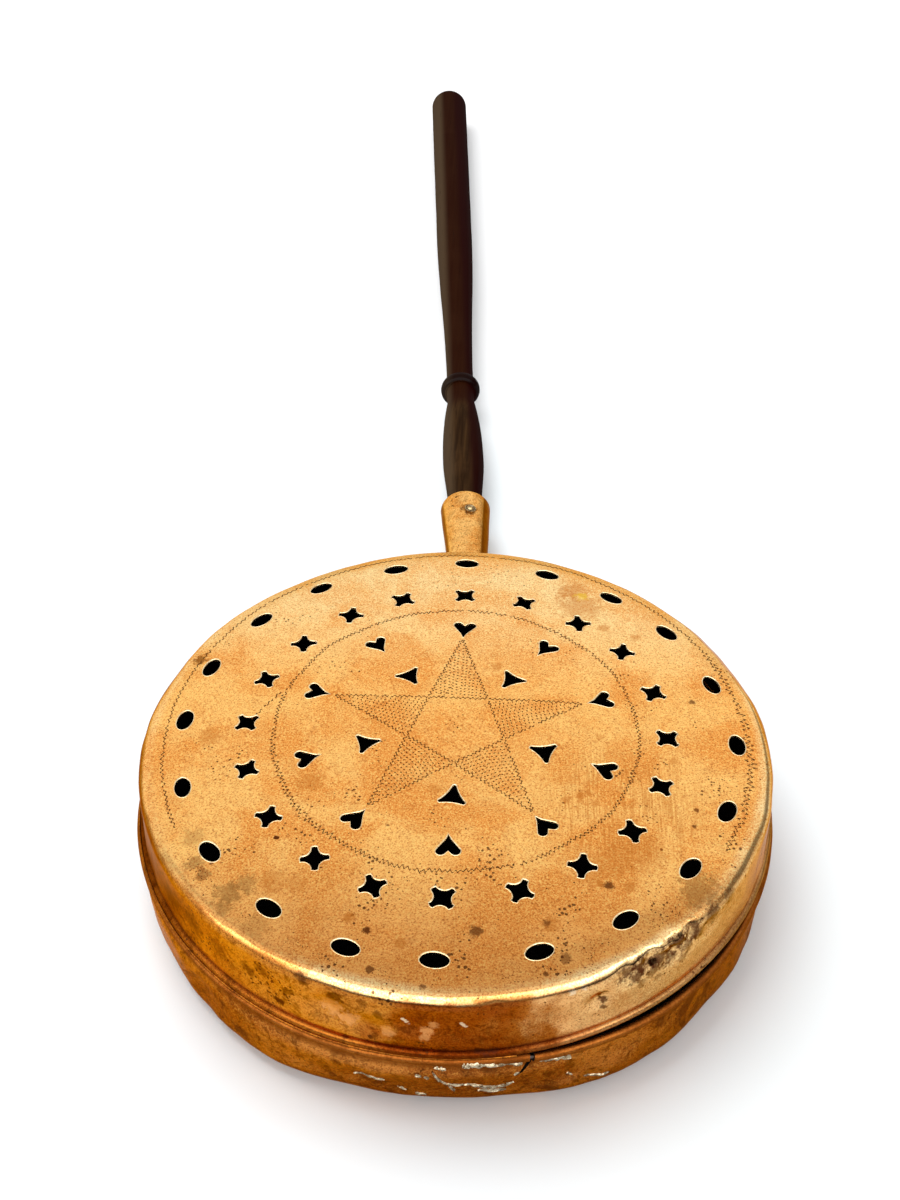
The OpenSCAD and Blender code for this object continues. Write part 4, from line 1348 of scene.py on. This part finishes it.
# Over the grain: paler blooms, a darker far end, a painted sheen along the left side, painted shade along
# the right side, and dark pores.
for shown, layer in [
    (spread(bloom, 0.5, 0.75, 0.0, 0.5), (0.065, 0.032, 0.014, 1)),
    (spread(beside["Y"], 0.196, 0.216, 0.0, 0.85), (0.017, 0.003, 0.0008, 1)),
    (spread(beside["X"], -4 * mm, -10 * mm, 0.0, 0.7), (0.075, 0.048, 0.026, 1)),
    (spread(beside["X"], 1.5 * mm, 7 * mm, 0.0, 0.92), (0.014, 0.0015, 0.0012, 1)),
    (spread(pores, 0.62, 0.75, 0.0, 0.7), (0.006, 0.003, 0.002, 1)),
]:
    tone = blended(shown, tone, layer)
use_surface(shader, tone, spread(grain, 0.3, 0.7, 0.28, 0.42), minus(grain, pores), 0.08 * mm)
shader.inputs["Specular IOR Level"].default_value = 0.0
shader.inputs["Coat Weight"].default_value = 0.025
shader.inputs["Coat Roughness"].default_value = 0.25

# The collar stands proud and is rubbed to a shine.
collar_wood = dark_wood.copy()
collar_wood.name = "shining collar"
shader = collar_wood.node_tree.nodes["Principled BSDF"]
tone = shader.inputs["Base Color"].links[0].from_socket
feed(shader, "Base Color", blended(0.65, tone, (0.004, 0.001, 0.0008, 1)))
shader.inputs["Coat Weight"].default_value = 0.1
shader.inputs["Coat Roughness"].default_value = 0.06

handle = finished(bm, "turned_handle", [dark_wood, collar_wood])
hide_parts("handle")
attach(handle, "pan_body")


# ---- the nail ----
# One brass nail with a worn domed head goes through a washer and the socket into the wood.
# It keeps the handle from turning and pulling out.

washer_r, washer_t = 3.5 * mm, 1 * mm
head_r, head_h = 2.1 * mm, 1.3 * mm
nail_len, shank_r = 16 * mm, 1 * mm
bore_r, rounding = 1.1 * mm, 0.3 * mm
at_nail = along_handle @ Matrix.Translation((0, 0, nail_s)) @ turned(nail_roll) @ turned(90, "X")
seat = socket_r(nail_s)

brass_grain = (700.0, 5.0, 0.65)
nail_brass = speckled(
    "old brass", 1.0, brass_grain, (0.4, 0.65),
    [(0.55, 0.40, 0.20, 1), (0.22, 0.13, 0.05, 1)], (0.3, 0.5), 0.1 * mm,
)
washer_brass = speckled(
    "dull brass", 1.0, brass_grain, (0.4, 0.65),
    [(0.46, 0.34, 0.17, 1), (0.16, 0.10, 0.04, 1)], (0.35, 0.6), 0.1 * mm,
)

ball_r = (head_r**2 + head_h**2) / (2 * head_h)
edge_angle = math.degrees(math.asin(1 - head_h / ball_r))
head_seat = seat + washer_t
nail_section = [(0, head_seat - nail_len), (shank_r, head_seat - nail_len), (shank_r, head_seat)]
nail_section += arc((0, head_seat + head_h - ball_r), ball_r, edge_angle, 90, 8)
washer_section = [(bore_r, seat - 0.3 * mm), (washer_r - rounding, seat - 0.5 * mm)]
washer_section += arc((washer_r - rounding, seat + washer_t - rounding), rounding, 0, 90, 4)
washer_section += [(washer_r - 0.8 * mm, seat + washer_t), (washer_r - 1.2 * mm, seat + 0.5 * mm)]
washer_section.append((bore_r, seat + 0.45 * mm))
for name, section, closed, metal, replaced in [
    ("nail", nail_section, False, nail_brass, "handle_nail"),
    ("washer", washer_section, True, washer_brass, "nail_washer"),
]:
    bm = spun(section, 32, closed=closed)
    for vert in bm.verts:
        outward = Vector((vert.co.x, vert.co.y, 0))
        vert.co += outward * noise.noise(vert.co / (3 * mm)) * 0.05
    bmesh.ops.transform(bm, matrix=at_nail, verts=bm.verts)
    piece = finished(bm, name, [metal])
    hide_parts(replaced)
    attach(piece, "pan_body")


# ---- the studio ----
# A white floor that runs into a white room, soft light from above and behind on the left, and
# the camera above the front of the pan, from where the photograph was taken.

bm = bmesh.new()
bmesh.ops.create_grid(bm, x_segments=1, y_segments=1, size=6)
white, shader, spot = new_material("white floor")
shader.inputs["Roughness"].default_value = 0.9
# Far off, the floor turns as white as the room, so that no line shows where it ends.
away = distance(spot)
# Near the pan the floor is painted a cooler white, which cancels the warm light that the copper throws onto
# it.
floor_tone = blended(spread(away, 0.26, 0.5), (0.77, 0.815, 0.835, 1), (0.80, 0.805, 0.81, 1))
feed(shader, "Base Color", floor_tone)
tree = white.node_tree
to_camera = node(tree, "ShaderNodeLightPath").outputs["Is Camera Ray"]
glow = times(to_camera, spread(away, 0.9, 2.4, 0.15, 0.8))
glow = node(tree, "ShaderNodeEmission", {"Color": (1, 1, 1, 1), "Strength": glow}).outputs["Emission"]
both = node(tree, "ShaderNodeAddShader", {0: shader.outputs["BSDF"], 1: glow})
feed(tree.nodes["Material Output"], "Surface", both.outputs[0])
floor = finished(bm, "floor", [white])

world = bpy.data.worlds.new("room")
bpy.context.scene.world = world
world.use_nodes = True
tree = world.node_tree
# The room's brightness, by angle, from the wall behind the pan over the ceiling to the one in front.
ceiling = [
    (0, 1.0), (38, 1.1), (46, 1.05), (54, 1.02), (60, 0.97), (62.5, 0.72), (70, 0.70), (80, 1.05),
    (102, 1.05), (112, 3.6), (150, 2.9), (161, 1.5), (165, 0.14), (179, 0.14),
]
brightest = 6.0
way = axes(node(tree, "ShaderNodeTexCoord").outputs["Generated"])
turn = math_node("DIVIDE", math_node("ARCTAN2", way["Z"], way["Y"]), math.pi)
room = ramp(turn, [(angle / 180, (bright / brightest,) * 3) for angle, bright in ceiling])
# It is darker low on the right. Only shining surfaces see it: matt ones get an even light.
low_right = minus(way["X"], times(way["Z"], 0.8))
room = times(room, spread(low_right, 0.22, 0.6, brightest, 1.5))
even_light = 0.62


def for_ray(kind, usual, other):
    """The usual value, or another one for one kind of ray."""
    ray = node(tree, "ShaderNodeLightPath").outputs[kind]
    return node(tree, "ShaderNodeMix", {0: ray, 2: usual, 3: other}, data_type="FLOAT").outputs[0]


shown = for_ray("Is Camera Ray", for_ray("Is Glossy Ray", even_light, room), 1.0)
feed(tree.nodes["Background"], "Strength", shown)
tree.nodes["Background"].inputs["Color"].default_value = (1, 1, 1, 1)


def soft_lamp(name, place, target, size, watts):
    """A square lamp that shining surfaces don't mirror."""
    lamp = bpy.data.lights.new(name, "AREA")
    lamp.shape = "SQUARE"
    lamp.size = size
    lamp.energy = watts
    holder = placed(name, lamp)
    holder.location = place
    holder.visible_glossy = False
    holder.rotation_euler = (Vector(target) - Vector(place)).to_track_quat("-Z", "Y").to_euler()


soft_lamp("back_left_lamp", (-0.5, 0.45, 1.85), (0, 0, 0), 1.4, 33)

# The camera's place and turn were worked out from the rings of holes in the photograph.
camera_place = Vector((0.0254, -0.5132, 0.5955))
camera_down = 40.2
camera_turn = 3.14
camera_roll = -0.13
focal_length = 45.98
lens = bpy.data.cameras.new("camera")
lens.lens = focal_length
lens.sensor_width = 36
lens.clip_start = 0.01
camera = placed("camera", lens)
facing = turned(camera_turn) @ turned(90 - camera_down, "X") @ turned(camera_roll)
camera.matrix_world = Matrix.Translation(camera_place) @ facing
bpy.context.scene.camera = camera
bpy.context.scene.view_settings.view_transform = "Standard"
